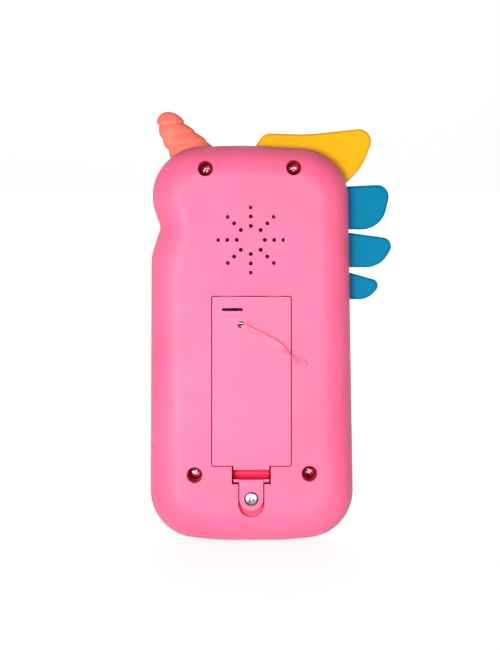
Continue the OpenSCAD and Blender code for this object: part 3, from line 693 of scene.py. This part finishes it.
grown = 2 * (cover["seam"] + flare)
mouth = roundRect(cover["centre"], cover["width"] + grown, cover["height"] + grown,
                  cover["radius"] + cover["seam"] + flare, 5)
combine(rear, "DIFFERENCE", solid("rebate", lippedPrism, mouth, case["back"], case["backInner"] + 0.02, flare))
pocket = roundRect((latch["x"], latch["pocketZ"]), latch["pocketWidth"], latch["pocketHeight"], 0.4, 3)
combine(rear, "DIFFERENCE", solid("pocket", lippedPrism, pocket, case["back"], latch["depth"] + 0.4, 0.12))
recess = tongueOutline(tongue["radius"] + tongue["gap"], tongue["recessZ"], tongue["recessTop"], 0.2, 2)
combine(rear, "DIFFERENCE", solid("recess", lippedPrism, recess, case["back"], tongue["floor"] + 0.1, 0.12))
combine(rear, "DIFFERENCE", solid("screwHole", post, screwSpot, tongue["pilot"], -12, -4, 24))


# Slots that the horn, the crest and the tufts sit in
def cutMane(shell):
    combine(shell, "DIFFERENCE", solid("hornSlot", drawHorn, 0.12))
    combine(shell, "DIFFERENCE", solid("crestSlot", drawLeaf, mane["crest"], mane["crestY"], 0.1))
    for corners in mane["tufts"]:
        combine(shell, "DIFFERENCE", solid("tuftSlot", drawLeaf, corners, mane["tuftY"], 0.1))


cutMane(rear)
makePiece("rear_case", rear, finishes["pinkShell"], "phone", ["rear_case"], sharp=38)
print("rear case", len(rear.data.polygons), "faces")

# The battery cover


# Side view of the spring latch, as one closed outline swept along x
def drawLatch(bm):
    outer = (latch["top"] - latch["bottom"]) / 2
    middle = (latch["top"] + latch["bottom"]) / 2
    bend = latch["depth"] - outer
    x0 = latch["x"] - latch["halfWidth"]
    strip = latch["strip"]

    def spot(y, z):
        return bmesh.ops.create_vert(bm, co=(x0, y, z))["vert"][0]

    def arc(start, turn):
        made = bmesh.ops.spin(bm, geom=[start], cent=(x0, bend, middle), axis=(1, 0, 0), angle=turn, steps=14)
        return next(v for v in made["geom_last"] if isinstance(v, bmesh.types.BMVert))

    topBack, topBend = spot(case["back"], latch["top"]), spot(bend, latch["top"])
    bottomBend = arc(topBend, -math.pi)
    ledge, ledgeIn = spot(latch["ledge"], latch["bottom"]), spot(latch["ledge"], latch["bottom"] + strip)
    innerBend = spot(bend, latch["bottom"] + strip)
    innerTop = arc(innerBend, math.pi)
    innerBack = spot(case["back"], latch["top"] - strip)
    for pair in ((topBack, topBend), (bottomBend, ledge), (ledge, ledgeIn), (ledgeIn, innerBend),
                 (innerTop, innerBack), (innerBack, topBack)):
        bm.edges.new(pair)
    face = bmesh.ops.contextual_create(bm, geom=bm.edges[:])["faces"][0]
    raised = bmesh.ops.extrude_face_region(bm, geom=[face])
    bmesh.ops.translate(bm, vec=(2 * latch["halfWidth"], 0, 0),
                        verts=[v for v in raised["geom"] if isinstance(v, bmesh.types.BMVert)])
    bmesh.ops.recalc_face_normals(bm, faces=bm.faces)
    corners = [e for e in bm.edges if e.calc_face_angle(0) > math.radians(50)]
    bmesh.ops.bevel(bm, geom=corners, offset=0.12, offset_type="OFFSET", affect="EDGES",
                    segments=2, profile=0.5, material=-1)


coverInner = case["back"] + cover["thick"]
shape = roundRect(cover["centre"], cover["width"], cover["height"], cover["radius"], 5)
coverPiece = solid("coverPlate", plate, shape, coverInner, case["back"], 0.1, cover["edge"], 3)
combine(coverPiece, "UNION", solid("latchSpring", drawLatch))
combine(coverPiece, "UNION", solid(
    "latchRoot", block, (latch["x"] - latch["halfWidth"], case["back"], latch["top"] - 0.5),
    (latch["x"] + latch["halfWidth"], coverInner - 0.05, 28.4), 0.12))
shape = tongueOutline(tongue["radius"], tongue["z"], tongue["top"], 0.5, 4)
combine(coverPiece, "UNION", solid("tonguePlate", plate, shape, tongue["floor"], case["back"], 0.1, 0.16, 3))
for x in hooks["x"]:
    half, under = hooks["half"], hooks["under"]
    hook = solid("hook", block, (x - half, coverInner - 0.5, hooks["root"][0]),
                 (x + half, hooks["top"], hooks["root"][1]), 0.1)
    combine(hook, "UNION", solid("hookReach", block, (x - half + 0.1, under, hooks["reach"][0]),
                                 (x + half - 0.1, hooks["top"] - 0.05, hooks["reach"][1]), 0.1))
    combine(coverPiece, "UNION", hook)
spot, width, height = cover["slot"]
combine(coverPiece, "DIFFERENCE", solid("coverSlot", lippedPrism, roundRect(
    spot, width + 0.16, height + 0.16, height / 2 + 0.07, 6), case["back"], -11, 0.08))
tools = bmesh.new()
lippedHole(tools, cover["hole"][0], cover["hole"][1], case["back"], -11, 0.1, 24)
lippedHole(tools, screwSpot, tongue["head"], case["back"], tongue["headFloor"], 0.1, 40)
combine(coverPiece, "DIFFERENCE", looseObject("coverHoles", tools))
combine(coverPiece, "DIFFERENCE", solid("shaftHole", post, screwSpot, tongue["shaft"], -13, -10, 24))
makePiece("battery_cover", coverPiece, finishes["pinkCover"], "cover",
          ["battery_cover"], sharp=38)
print("battery cover")

# Screws

coverScrew = dict(seat=-12.62, head=2.25, tall=1.3, dome=0.35, shaft=0.88, length=4.15, turn=28)
caseScrew = dict(seat=-5.52, head=2.3, tall=1.7, dome=0.6, shaft=1.05, length=10.9, turns=(12, 38, 63, 25))


# Pan-head screw whose head faces -Y, with thread ridges; its tapered cross recess is cut by the wedges of
# drawCross
def drawScrew(bm, place, look):
    top = look["seat"] - look["tall"]
    rim = look["head"]
    profile = [(0, top), (rim * 0.45, top + look["dome"] * 0.12), (rim * 0.8, top + look["dome"] * 0.5),
               (rim * 0.95, top + look["dome"] * 0.85), (rim, top + look["dome"] * 1.25),
               (rim, look["seat"] - 0.08), (rim - 0.08, look["seat"]), (look["shaft"], look["seat"])]
    y, end = look["seat"] + 0.6, look["seat"] + look["length"] - 0.9
    while y < end:
        profile += [(look["shaft"] * 0.8, y), (look["shaft"], y + 0.25)]
        y += 0.5
    turned(bm, place, profile + [(look["shaft"] * 0.7, end + 0.2), (0, look["seat"] + look["length"])], 40)


# Two crossed wedges that cut the recess of the head
def drawCross(bm, place, look, turn):
    top = look["seat"] - look["tall"]
    deep, reach, across = look["tall"] * 0.62, look["head"] * 0.62, look["head"] * 0.15
    for a in (turn, turn + 90):
        made = bmesh.ops.create_cube(bm, size=1)["verts"]
        bmesh.ops.scale(bm, vec=(2 * reach, deep + 0.6, 2 * across), verts=made)
        bmesh.ops.scale(bm, vec=(0.45, 1, 0.6), verts=[v for v in made if v.co.y > 0])
        bmesh.ops.translate(bm, vec=(0, top + (deep - 0.6) / 2, 0), verts=made)
        bmesh.ops.rotate(bm, cent=(0, 0, 0), matrix=Matrix.Rotation(math.radians(a), 3, "Y"), verts=made)
        bmesh.ops.translate(bm, vec=(place[0], 0, place[1]), verts=made)


def screwBody(place, look, turn):
    made = solid("screw", drawScrew, place, look)
    wings = solid("wings", drawCross, place, look, turn)
    step = made.modifiers.new("cross", "BOOLEAN")
    step.operation, step.solver, step.use_self, step.object = "DIFFERENCE", "EXACT", True, wings
    settle(made)
    bpy.data.objects.remove(wings)
    return made


def joinMeshes(name, parts):
    bm = bmesh.new()
    for part in parts:
        bm.from_mesh(part.data)
        bpy.data.objects.remove(part)
    return looseObject(name, bm)


makePiece("cover_screw", screwBody(screwSpot, coverScrew, coverScrew["turn"]), finishes["bright"],
          "latch_screw", ["cover_screw"], sharp=35)
fourScrews = [screwBody(place, caseScrew, turn) for place, turn in zip(wells["places"], caseScrew["turns"])]
caseScrews = joinMeshes("case_screws", fourScrews)
makePiece("case_screws", caseScrews, finishes["dark"], "phone", ["case_screws"], sharp=35)
print("screws")

# The front case

keys = dict(
    pitchX=15.5, pitchZ=12.5, firstZ=33, radius=5.2, gap=0.3, flange=(6.9, 7.9, 6.0), bottom=5.65,
    plunger=2.5, top=11.34, domeRadius=26, edge=0.45, functionZ=82.5, functionHalf=2.5, functionRadius=3.0,
    lip=0.12,
)
face = dict(lensZ=99, lensWidth=38, lensHeight=20, lensRadius=3, lensThick=1.1, window=1.8,
            eye=(-8, 124), nostril=(-27, 121), glints=((-6.6, 125.5, 1.15), (-9.3, 122.5, 0.6)),
            posts=[(-23.5, 39.25), (23.5, 39.25), (-23.5, 99), (23.5, 99)])


def pillOutline(place, half, radius):
    return roundRect(place, 2 * (half + radius), 2 * radius, radius * 0.96, 8)


front = looseObject("front_case", caseHalf(case["front"], case["frontBand"], case["frontRound"],
                                           case["parting"] + case["lip"], 0.0, case["lip"]))
combine(front, "DIFFERENCE", looseObject("hollow", caseHalf(
    case["frontInner"], case["frontBand"], case["frontRound"] - case["wall"],
    case["parting"] - 1, case["wall"])))
posts = bmesh.new()
for place in wells["places"]:
    post(posts, place, 3, 1.4, 9, 24)
for place in face["posts"]:
    post(posts, place, 2.25, 3.25, 9, 24)
combine(front, "UNION", looseObject("posts", posts))
holes = bmesh.new()
for place in wells["places"]:
    post(holes, place, 1.1, 0, 6.5, 20)
for place in face["posts"]:
    post(holes, place, 0.95, 2, 7, 20)
through = case["frontInner"] - 0.5
for row in range(4):
    for column in (-1, 0, 1):
        spot = (column * keys["pitchX"], keys["firstZ"] + row * keys["pitchZ"])
        lippedHole(holes, spot, keys["radius"] + keys["gap"], case["front"], through, keys["lip"], 64)
for column in (-1, 0, 1):
    pill = pillOutline((column * keys["pitchX"], keys["functionZ"]), keys["functionHalf"],
                       keys["functionRadius"] + keys["gap"] + keys["lip"])
    lippedPrism(holes, pill, case["front"], through, keys["lip"])
for place, radius in ((face["eye"], 2.05), (face["nostril"], 1.05)):
    lippedHole(holes, place, radius, case["front"], through, 0.05, 24)
combine(front, "DIFFERENCE", looseObject("frontHoles", holes))


# Outline of the display lens, grown or shrunk on all sides
def lensOutline(grown, radius, steps):
    width, height = face["lensWidth"] + 2 * grown, face["lensHeight"] + 2 * grown
    return roundRect((0, face["lensZ"]), width, height, radius, steps)


combine(front, "DIFFERENCE", solid("lensSeat", lippedPrism, lensOutline(0.25, face["lensRadius"] + 0.1, 8),
                                   case["front"], case["front"] - face["lensThick"], 0.12))
windowShape = lensOutline(-face["window"], face["lensRadius"] - face["window"] / 2, 6)
combine(front, "DIFFERENCE", solid("window", plate, windowShape, case["frontInner"] - 1, case["front"] - 0.5))
cutMane(front)
makePiece("front_case", front, finishes["pinkShell"], "phone", ["front_case"], sharp=38)
print("front case")

# Keys


# Height of a key's domed top over a point
def domeY(place, x, z):
    away = (x - place[0]) ** 2 + (z - place[1]) ** 2
    return keys["top"] - keys["domeRadius"] + math.sqrt(keys["domeRadius"] ** 2 - away)


def drawRoundKey(bm, place):
    low, high, wide = keys["flange"]
    radius, edge = keys["radius"], keys["edge"]
    shoulder = domeY((0, 0), radius - edge, 0)
    cap = [(radius - edge * (1 - math.cos(a)), shoulder - edge + edge * math.sin(a))
           for a in (0, math.radians(25), math.radians(50), math.radians(75))]
    dome = [(r, domeY((0, 0), r, 0)) for r in (radius - edge - 0.05, 4, 3, 2, 1)]
    foot = [(0, keys["bottom"]), (keys["plunger"], keys["bottom"]), (keys["plunger"], low)]
    flange = [(wide - 0.1, low), (wide, low + 0.1), (wide, high - 0.1), (wide - 0.1, high), (radius, high)]
    turned(bm, place, foot + flange + cap + dome + [(0, keys["top"])], 64)


def drawPillKey(bm, place):
    low, high, _ = keys["flange"]
    brim, shoulder = 0.7, keys["top"] - 0.6
    pill = pillOutline(place, keys["functionHalf"], keys["functionRadius"] + brim)
    top = plate(bm, pill, low, high, 0.1, 0.0, 2)[0]
    layers(bm, top, [(0, high), (brim, high)])
    bmesh.ops.inset_region(bm, faces=[top], thickness=0, depth=shoulder - high)
    for vert in top.verts:
        vert.co.y = shoulder
    layers(bm, top, [(0, shoulder)] + rounded(0, 0.6, shoulder, keys["top"] - 0.08, 5) + [(1.6, keys["top"])])
    post(bm, place, keys["plunger"], keys["bottom"], low + 0.3, 24)


# A printed figure that follows the dome of its key
def digit(name, text, place, body, size=6.4):
    curve = bpy.data.curves.new(name, "FONT")
    curve.body = text
    curve.size = size
    curve.align_x, curve.align_y = "CENTER", "CENTER"
    curve.extrude = 0.1
    curve.resolution_u = 6
    letter = bpy.data.objects.new(name, curve)
    scene.collection.objects.link(letter)
    mesh = bpy.data.meshes.new_from_object(letter.evaluated_get(bpy.context.evaluated_depsgraph_get()))
    bpy.data.objects.remove(letter)
    bm = bmesh.new()
    bm.from_mesh(mesh)
    bpy.data.meshes.remove(mesh)
    xs, ys = [v.co.x for v in bm.verts], [v.co.y for v in bm.verts]
    middle = ((min(xs) + max(xs)) / 2, (min(ys) + max(ys)) / 2)
    pitch = 0.4                     # the figure is cut this fine, so that it can follow the dome
    for k in range(-8, 9):
        spot = (middle[0] + pitch * k, middle[1] + pitch * k, 0)
        for way in ((1, 0, 0), (0, 1, 0)):
            bmesh.ops.bisect_plane(bm, geom=bm.verts[:] + bm.edges[:] + bm.faces[:],
                                   plane_co=spot, plane_no=way)
    for vert in bm.verts:
        x, z = place[0] - (vert.co.x - middle[0]), place[1] + vert.co.y - middle[1]
        vert.co = (x, domeY(place, x, z) + (0.045 if vert.co.z > 0 else -0.15), z)
    return makePiece(name, bm, finishes["white"], body, sharp=30, weighted=False)


# From the lowest row up, each from the left as seen from the front
keyNames = [
    ("star", "*", "yellow"), ("0", "0", "blue"), ("hash", "#", "coral"),
    ("7", "7", "coral"), ("8", "8", "yellow"), ("9", "9", "blue"),
    ("4", "4", "blue"), ("5", "5", "coral"), ("6", "6", "yellow"),
    ("1", "1", "yellow"), ("2", "2", "blue"), ("3", "3", "coral")]
for k, (name, text, finish) in enumerate(keyNames):
    place = ((1 - k % 3) * keys["pitchX"], keys["firstZ"] + k // 3 * keys["pitchZ"])
    body = f"key_{name}_body"
    makePiece(f"key_{name}", solid("key", drawRoundKey, place), finishes[finish], body,
              [f"key_{name}"], sharp=50)
    digit(f"figure_{name}", text, place, body, 9.5 if text == "*" else 6.4)
print("round keys")


# Small raised signs on the function keys: a handset, a note and a lamp
signs = dict(sunk=0.2, noteHalf=1.1, noteFoot=-1.3, rays=8)


# A bow between two radii about a point below the middle
def drawHandset(bm, x, z):
    centre = Vector((x, 0, z - 0.9))
    start = Matrix.Rotation(math.radians(-155), 3, "Y")
    verts = [bmesh.ops.create_vert(bm, co=centre + start @ Vector((r, 0, 0)))["vert"][0] for r in (1.5, 2.3)]
    edge = bm.edges.new(verts)
    bmesh.ops.spin(bm, geom=verts + [edge], cent=centre, axis=(0, 1, 0), angle=math.radians(130), steps=14)


# Flat disc that faces the front
def drawDisc(bm, x, z, radius, segments, squash=1.0):
    made = bmesh.ops.create_circle(bm, cap_ends=True, segments=segments, radius=radius)["verts"]
    bmesh.ops.rotate(bm, cent=(0, 0, 0), matrix=Matrix.Rotation(math.radians(90), 3, "X"), verts=made)
    bmesh.ops.scale(bm, vec=(1, 1, squash), verts=made)
    bmesh.ops.translate(bm, vec=(x, 0, z), verts=made)


# Raises flat faces into a thin sign that stands a little out of the key
def raiseSign(bm):
    bmesh.ops.remove_doubles(bm, verts=bm.verts, dist=0.001)
    bmesh.ops.recalc_face_normals(bm, faces=bm.faces)
    raised = bmesh.ops.extrude_face_region(bm, geom=bm.faces[:])
    top = [v for v in raised["geom"] if isinstance(v, bmesh.types.BMVert)]
    for vert in bm.verts:
        vert.co.y = keys["top"] - signs["sunk"]
    for vert in top:
        vert.co.y = keys["top"] + 0.04


def signHandset(place):
    bm = bmesh.new()
    drawHandset(bm, *place)
    raiseSign(bm)
    return bm


def signNote(place):
    bm = bmesh.new()
    (x, z), half, foot = place, signs["noteHalf"], signs["noteFoot"]
    low, high = keys["top"] - signs["sunk"], keys["top"]
    for side in (-half, half):
        drawDisc(bm, x + side + 0.55, z + foot, 0.75, 20, 0.75)
    raiseSign(bm)
    for side in (-half, half):
        block(bm, (x + side - 0.17, low, z + foot), (x + side + 0.17, high + 0.035, z + 1.7))
    block(bm, (x - half - 0.17, low, z + 1.3), (x + half + 0.17, high + 0.03, z + 1.9))
    return bm


def signLamp(place):
    bm = bmesh.new()
    drawDisc(bm, *place, 1.0, 24)
    raiseSign(bm)
    for k in range(signs["rays"]):
        turn = Matrix.Rotation(2 * math.pi * k / signs["rays"], 3, "Y")
        ray = bmesh.ops.create_cube(bm, size=1)["verts"]
        bmesh.ops.scale(bm, vec=(0.7, 0.24, 0.28), verts=ray)
        bmesh.ops.translate(bm, vec=(1.75, keys["top"] - 0.085, 0), verts=ray)
        bmesh.ops.rotate(bm, cent=(0, 0, 0), matrix=turn, verts=ray)
        bmesh.ops.translate(bm, vec=(place[0], 0, place[1]), verts=ray)
    return bm


for name, column, finish, sign in (("call", 1, "green", signHandset), ("music", 0, "violet", signNote),
                                   ("light", -1, "red", signLamp)):
    place = (column * keys["pitchX"], keys["functionZ"])
    body = f"key_{name}_body"
    makePiece(f"key_{name}", solid("key", drawPillKey, place), finishes[finish], body,
              [f"key_{name}"], sharp=40)
    makePiece(f"sign_{name}", sign(place), finishes["white"], body, sharp=30, weighted=False)
print("function keys")

# The pull tab

# Stations of the film strip: centre, width and the way that its width points
tab = dict(thick=0.11, stations=[
    ((-3.3, -2.4, 76.8), 1.8, (1, 0, 0)), ((-3.3, -9.0, 76.8), 1.8, (1, 0, 0)),
    ((-3.3, -13.6, 76.8), 1.8, (1, 0, 0)), ((-3.2, -14.9, 76.75), 1.8, (0.95, -0.2, 0.1)),
    ((-2.7, -15.6, 76.5), 1.9, (0.8, -0.5, 0.25)), ((-1.4, -16.0, 75.8), 2.1, (0.45, -0.75, 0.45)),
    ((1.4, -16.05, 74.2), 2.5, (0.30, -0.75, 0.58)), ((5.0, -15.9, 72.2), 2.9, (0.40, -0.55, 0.72)),
    ((8.6, -15.75, 70.0), 3.1, (0.47, -0.38, 0.80)), ((11.4, -15.75, 68.0), 3.2, (0.30, -0.78, 0.55)),
    ((13.6, -15.8, 66.3), 3.2, (-0.10, -0.97, -0.16)), ((15.8, -15.8, 64.9), 3.2, (-0.42, -0.60, -0.68)),
    ((17.8, -15.6, 63.8), 2.5, (-0.46, -0.38, -0.80)), ((19.4, -15.45, 62.9), 1.1, (-0.46, -0.3, -0.84))])


# Carries a row of verts from station to station, a little curled where the strip hangs free
def drawTab(bm):
    columns = 5
    places = [Vector(s[0]) for s in tab["stations"]]
    row = [bmesh.ops.create_vert(bm, co=(k, 0, 0))["vert"][0] for k in range(columns)]
    edges = [bm.edges.new(pair) for pair in zip(row, row[1:])]
    for i, (centre, width, across) in enumerate(tab["stations"]):
        ahead = (places[min(i + 1, len(places) - 1)] - places[max(i - 1, 0)]).normalized()
        across = Vector(across)
        across = (across - ahead * across.dot(ahead)).normalized()
        curl = across.cross(ahead) * (0.16 if 4 < i < 12 else 0.0)
        if i:
            swept = bmesh.ops.extrude_edge_only(bm, edges=edges)["geom"]
            edges = [e for e in swept if isinstance(e, bmesh.types.BMEdge)]
            fresh = [v for v in swept if isinstance(v, bmesh.types.BMVert)]
            row = [next(e.other_vert(v) for e in v.link_edges if e.other_vert(v) in fresh) for v in row]
        for k, vert in enumerate(row):
            t = 2 * k / (columns - 1) - 1
            vert.co = places[i] + across * width / 2 * t + curl * (t * t - 0.4)


strip = solid("pull_tab", drawTab)
soft = strip.modifiers.new("soft", "SUBSURF")
soft.levels = soft.render_levels = 2
wall = strip.modifiers.new("wall", "SOLIDIFY")
wall.thickness = tab["thick"]
wall.offset = 0
settle(strip)

film, tree, shader = newMaterial("tabFilm")
tint = ramp(tree, noise(tree, 3.5, 3, (1, 1, 0.4)), 0.3, 0.7, (0.62, 0.16, 0.27), (0.72, 0.24, 0.36))
link(tree, tint, shader.inputs["Base Color"])
link(tree, spread(tree, noise(tree, 1.2, 3), 0.10, 0.24), shader.inputs["Roughness"])
bumpFrom(tree, shader, noise(tree, 2.2, 2, (1, 1, 0.3)), 0.05, 0.4)
shader.inputs["IOR"].default_value = 1.5
shader.inputs["Alpha"].default_value = 0.45
makePiece("pull_tab", strip, film, "tab", ["pull_tab"], sharp=60, weighted=False)
print("pull tab")

# Cells

cells = dict(
    radius=5.25, y=-6.35, left=(-5.3, 32.1, 1), right=(5.8, 74.0, -1),
    body=43.4, button=1.9, buttonTall=1.1, foot=0.012, rim=0.955,
)


# Cell standing along Z from its flat end; direction -1 puts the button at the bottom
def drawCell(bm, x, z, way):
    r, tall, button = cells["radius"], cells["body"], cells["button"]
    end = tall + cells["buttonTall"]
    foot = [(0, 0.25), (2.9, 0.25), (3.2, 0.0), (4.5, 0.0), (4.75, 0.2), (r - 0.12, 0.35), (r, 0.6)]
    shoulder = [(r, tall - 1.1), (r - 0.2, tall - 0.8), (r - 0.75, tall - 0.6), (r - 0.9, tall - 0.75),
                (3.2, tall - 0.75), (2.9, tall - 0.2)]
    cap = [(button + 0.3, tall - 0.1), (button, tall), (button, end - 0.15), (button - 0.15, end), (0, end)]
    verts = [bmesh.ops.create_vert(bm, co=(x + out, cells["y"], z + way * up))["vert"][0]
             for out, up in foot + shoulder + cap]
    edges = [bm.edges.new(pair) for pair in zip(verts, verts[1:])]
    bmesh.ops.spin(bm, geom=verts + edges, cent=(x, cells["y"], 0), axis=(0, 0, 1),
                   angle=2 * math.pi, steps=56, use_merge=True)


# Printed jacket: a dark body with a coloured band at the button end, and bare metal at both ends
def jacket(name, foot, way):
    material, tree, shader = newMaterial(name)
    end = foot + way * (cells["body"] + cells["buttonTall"])
    height = remap(tree, separate(tree, objectPoint(tree))["Z"], foot * mm, end * mm)
    silver, black = (0.60, 0.60, 0.58), (0.02, 0.02, 0.022)
    bands = bandRamp(tree, height, [
        (0.0, (0.55, 0.55, 0.53)), (cells["foot"], (0.02, 0.10, 0.055)), (0.70, (0.55, 0.38, 0.04)),
        (0.715, silver), (0.73, black), (cells["rim"], silver)])
    bare = bandRamp(tree, height, [(0.0, (1, 1, 1)), (cells["foot"], (0, 0, 0)), (cells["rim"], (1, 1, 1))])
    dull = ramp(tree, noise(tree, 4, 3), 0.3, 0.7, (0.6, 0.6, 0.6), (1, 1, 1))
    link(tree, mixColour(tree, 0.25, bands, dull, "MULTIPLY"), shader.inputs["Base Color"])
    link(tree, bare, shader.inputs["Metallic"])
    link(tree, spread(tree, noise(tree, 2, 3), 0.22, 0.34), shader.inputs["Roughness"])
    return material


for name in ("left", "right"):
    x, foot, way = cells[name]
    makePiece(f"battery_{name}", solid("cell", drawCell, x, foot, way), jacket(f"cellJacket_{name}", foot, way),
              "phone", [f"battery_{name}"], sharp=35)
print("cells")

# Display, eye and nostril

clear, tree, shader = newMaterial("clearLens")
shader.inputs["Base Color"].default_value = (0.93, 0.97, 1.0, 1)
shader.inputs["IOR"].default_value = 1.49
shader.inputs["Alpha"].default_value = 0.22
link(tree, spread(tree, noise(tree, 9, 3), 0.04, 0.10), shader.inputs["Roughness"])
bumpFrom(tree, shader, noise(tree, 6, 2), 0.01, 0.3)
lens = solid("lens", plate, lensOutline(0, face["lensRadius"], 10),
             case["front"] - face["lensThick"] + 0.02, case["front"], 0.1, 0.25, 3)
makePiece("display_lens", lens, clear, "phone", ["display_lens"], sharp=40)

# The card behind the lens: hills, a sky that pales downwards and soft clouds
card, tree, shader = newMaterial("pictureCard")
height = separate(tree, objectPoint(tree))["Z"]
sky = remap(tree, height, 92 * mm, 109 * mm)
skyColour = ramp(tree, sky, 0.0, 1.0, (0.55, 0.75, 0.85), (0.08, 0.34, 0.66))
clouds = ramp(tree, noise(tree, 9, 3, (0.6, 1, 1.4)), 0.52, 0.60, (0, 0, 0), (1, 1, 1))
picture = mixColour(tree, clouds, skyColour, (0.88, 0.90, 0.92))
ridge = maths(tree, "MULTIPLY_ADD", noise(tree, 16, 1, (1, 0.01, 0.01)), 12 * mm, 87.5 * mm)
below = maths(tree, "LESS_THAN", height, ridge)
grass = ramp(tree, noise(tree, 3, 3), 0.35, 0.65, (0.10, 0.38, 0.08), (0.22, 0.55, 0.12))
link(tree, mixColour(tree, below, picture, grass), shader.inputs["Base Color"])
shader.inputs["Roughness"].default_value = 0.55
bumpFrom(tree, shader, noise(tree, 0.4, 2), 0.01, 0.4)

# Eye: a glossy black dome with two white glints printed on it
eye, tree, shader = newMaterial("eyeBlack")
point = objectPoint(tree)
dots = maths(tree, "MAXIMUM", *(spotMask(tree, point, *glint) for glint in face["glints"]))
blackPlastic = ramp(tree, noise(tree, 5, 2), 0.3, 0.7, (0.006, 0.005, 0.008), (0.012, 0.010, 0.014))
link(tree, mixColour(tree, dots, blackPlastic, (0.75, 0.75, 0.75)), shader.inputs["Base Color"])
link(tree, spread(tree, noise(tree, 4, 2), 0.10, 0.16), shader.inputs["Roughness"])


# Plug with a low domed head and a rounded rim
def drawPlug(bm, place, head, stem, proud):
    under = case["front"] + 0.02
    dome = [(head * t, under + 0.12 + (proud - 0.14) * (1 - t * t)) for t in (0.98, 0.9, 0.75, 0.55, 0.3)]
    turned(bm, place, [(0, 7.6), (stem, 7.6), (stem, under), (head - 0.05, under), (head, under + 0.06)] + dome
           + [(0, case["front"] + proud)], 48)


for name, look, slot, *size in (("eye", eye, "eye_black", 4.5, 1.98, 1.08),
                                ("nostril", finishes["nostril"], "nostril_pink", 1.8, 0.98, 0.58)):
    makePiece(f"{name}_insert", solid(name, drawPlug, face[name], *size), look, "phone",
              [f"{name}_insert"], sharp=50)
print("display, eye and nostril")

# Inner parts, which keep their own shapes

def innerPlastic(name, colour, deep, roughness, cloud):
    return plastic(name, dict(colour=colour, deep=deep, roughness=roughness, cloud=cloud))


def innerMetal(name, colour, deep, roughness):
    return metal(name, dict(colour=colour, deep=deep, roughness=roughness))


contact = innerMetal("contactSpring", (0.72, 0.70, 0.62), (0.50, 0.48, 0.42), (0.18, 0.32))
steel = innerMetal("speakerSteel", (0.50, 0.50, 0.52), (0.36, 0.36, 0.38), (0.3, 0.45))
iron = innerMetal("magnetIron", (0.22, 0.22, 0.23), (0.14, 0.14, 0.15), (0.4, 0.55))
paperCone = innerPlastic("speakerFilm", (0.13, 0.02, 0.04), (0.07, 0.012, 0.024), (0.35, 0.5), 6)
board = innerPlastic("boardLaminate", (0.03, 0.20, 0.09), (0.02, 0.15, 0.065), (0.35, 0.5), 6)
epoxy = innerPlastic("chipEpoxy", (0.012, 0.012, 0.012), (0.006, 0.006, 0.006), (0.2, 0.35), 4)
can = innerPlastic("componentBody", (0.05, 0.06, 0.12), (0.03, 0.035, 0.08), (0.3, 0.5), 3)
ledGlass = innerPlastic("ledLens", (0.85, 0.82, 0.66), (0.75, 0.72, 0.58), (0.1, 0.2), 2)
matRubber = innerPlastic("matSilicone", (0.62, 0.62, 0.58), (0.54, 0.54, 0.50), (0.55, 0.7), 12)
wireRed = innerPlastic("wireRed", (0.60, 0.02, 0.02), (0.50, 0.015, 0.015), (0.35, 0.45), 3)
wireBlack = innerPlastic("wireBlack", (0.02, 0.02, 0.02), (0.01, 0.01, 0.01), (0.35, 0.45), 3)

# Finish of each part and the width of its edge rounding
innerLooks = dict(
    positive_contact=(contact, 0.06), negative_contact=(contact, 0.0), link_contact=(contact, 0.0),
    battery_wires=(wireRed, 0.0), circuit_board=(board, 0.1), board_screws=(finishes["bright"], 0.06),
    sound_chip=(epoxy, 0.1), board_components=(can, 0.12), leds=(ledGlass, 0.05),
    speaker_frame=(steel, 0.12), speaker_magnet=(iron, 0.3), speaker_cone=(paperCone, 0.05),
    speaker_wires=(wireBlack, 0.0), keypad_mat=(matRubber, 0.15), picture_card=(card, 0.05),
)
for name, (material, edge) in innerLooks.items():
    part = nodes[name]
    part.data.materials.clear()
    part.data.materials.append(material)
    weld = part.modifiers.new("weld", "WELD")
    weld.merge_threshold = 0.002 * mm
    thin = part.modifiers.new("thin", "DECIMATE")
    thin.decimate_type = "DISSOLVE"
    thin.angle_limit = math.radians(1)
    if edge:
        bevel = part.modifiers.new("edge", "BEVEL")
        bevel.width = edge * mm
        bevel.segments = 2
        bevel.limit_method = "ANGLE"
        bevel.angle_limit = math.radians(40)
        bevel.harden_normals = True
print("inner parts")

# The floor, which bends up into a wall


def drawSweep(bm):
    half, at, bend, top = (stageLook[k] for k in ("floorHalf", "sweepY", "bend", "wallTop"))
    verts = [bmesh.ops.create_vert(bm, co=(-half, y, z))["vert"][0] for y, z in ((-half, 0), (at - bend, 0))]
    bm.edges.new(verts)
    arc = bmesh.ops.spin(bm, geom=[verts[1]], cent=(-half, at - bend, bend), axis=(1, 0, 0),
                         angle=math.pi / 2, steps=16)
    last = next(v for v in arc["geom_last"] if isinstance(v, bmesh.types.BMVert))
    end = bmesh.ops.create_vert(bm, co=(-half, at, top))["vert"][0]
    bm.edges.new((last, end))
    wide = bmesh.ops.extrude_edge_only(bm, edges=bm.edges[:])
    bmesh.ops.translate(bm, vec=(2 * half, 0, 0),
                        verts=[v for v in wide["geom"] if isinstance(v, bmesh.types.BMVert)])


floor = solid("floor", drawSweep)
floor.data.transform(Matrix.Scale(mm, 4))
floor.data.polygons.foreach_set("use_smooth", [True] * len(floor.data.polygons))
paper, tree, shader = newMaterial("paleSweep")
shader.inputs["Base Color"].default_value = (stageLook["grey"],) * 3 + (1,)
shader.inputs["Roughness"].default_value = 0.9
shader.inputs["Emission Color"].default_value = (1, 1, 1, 1)
shader.inputs["Emission Strength"].default_value = stageLook["glow"]
floor.data.materials.append(paper)
print("floor")
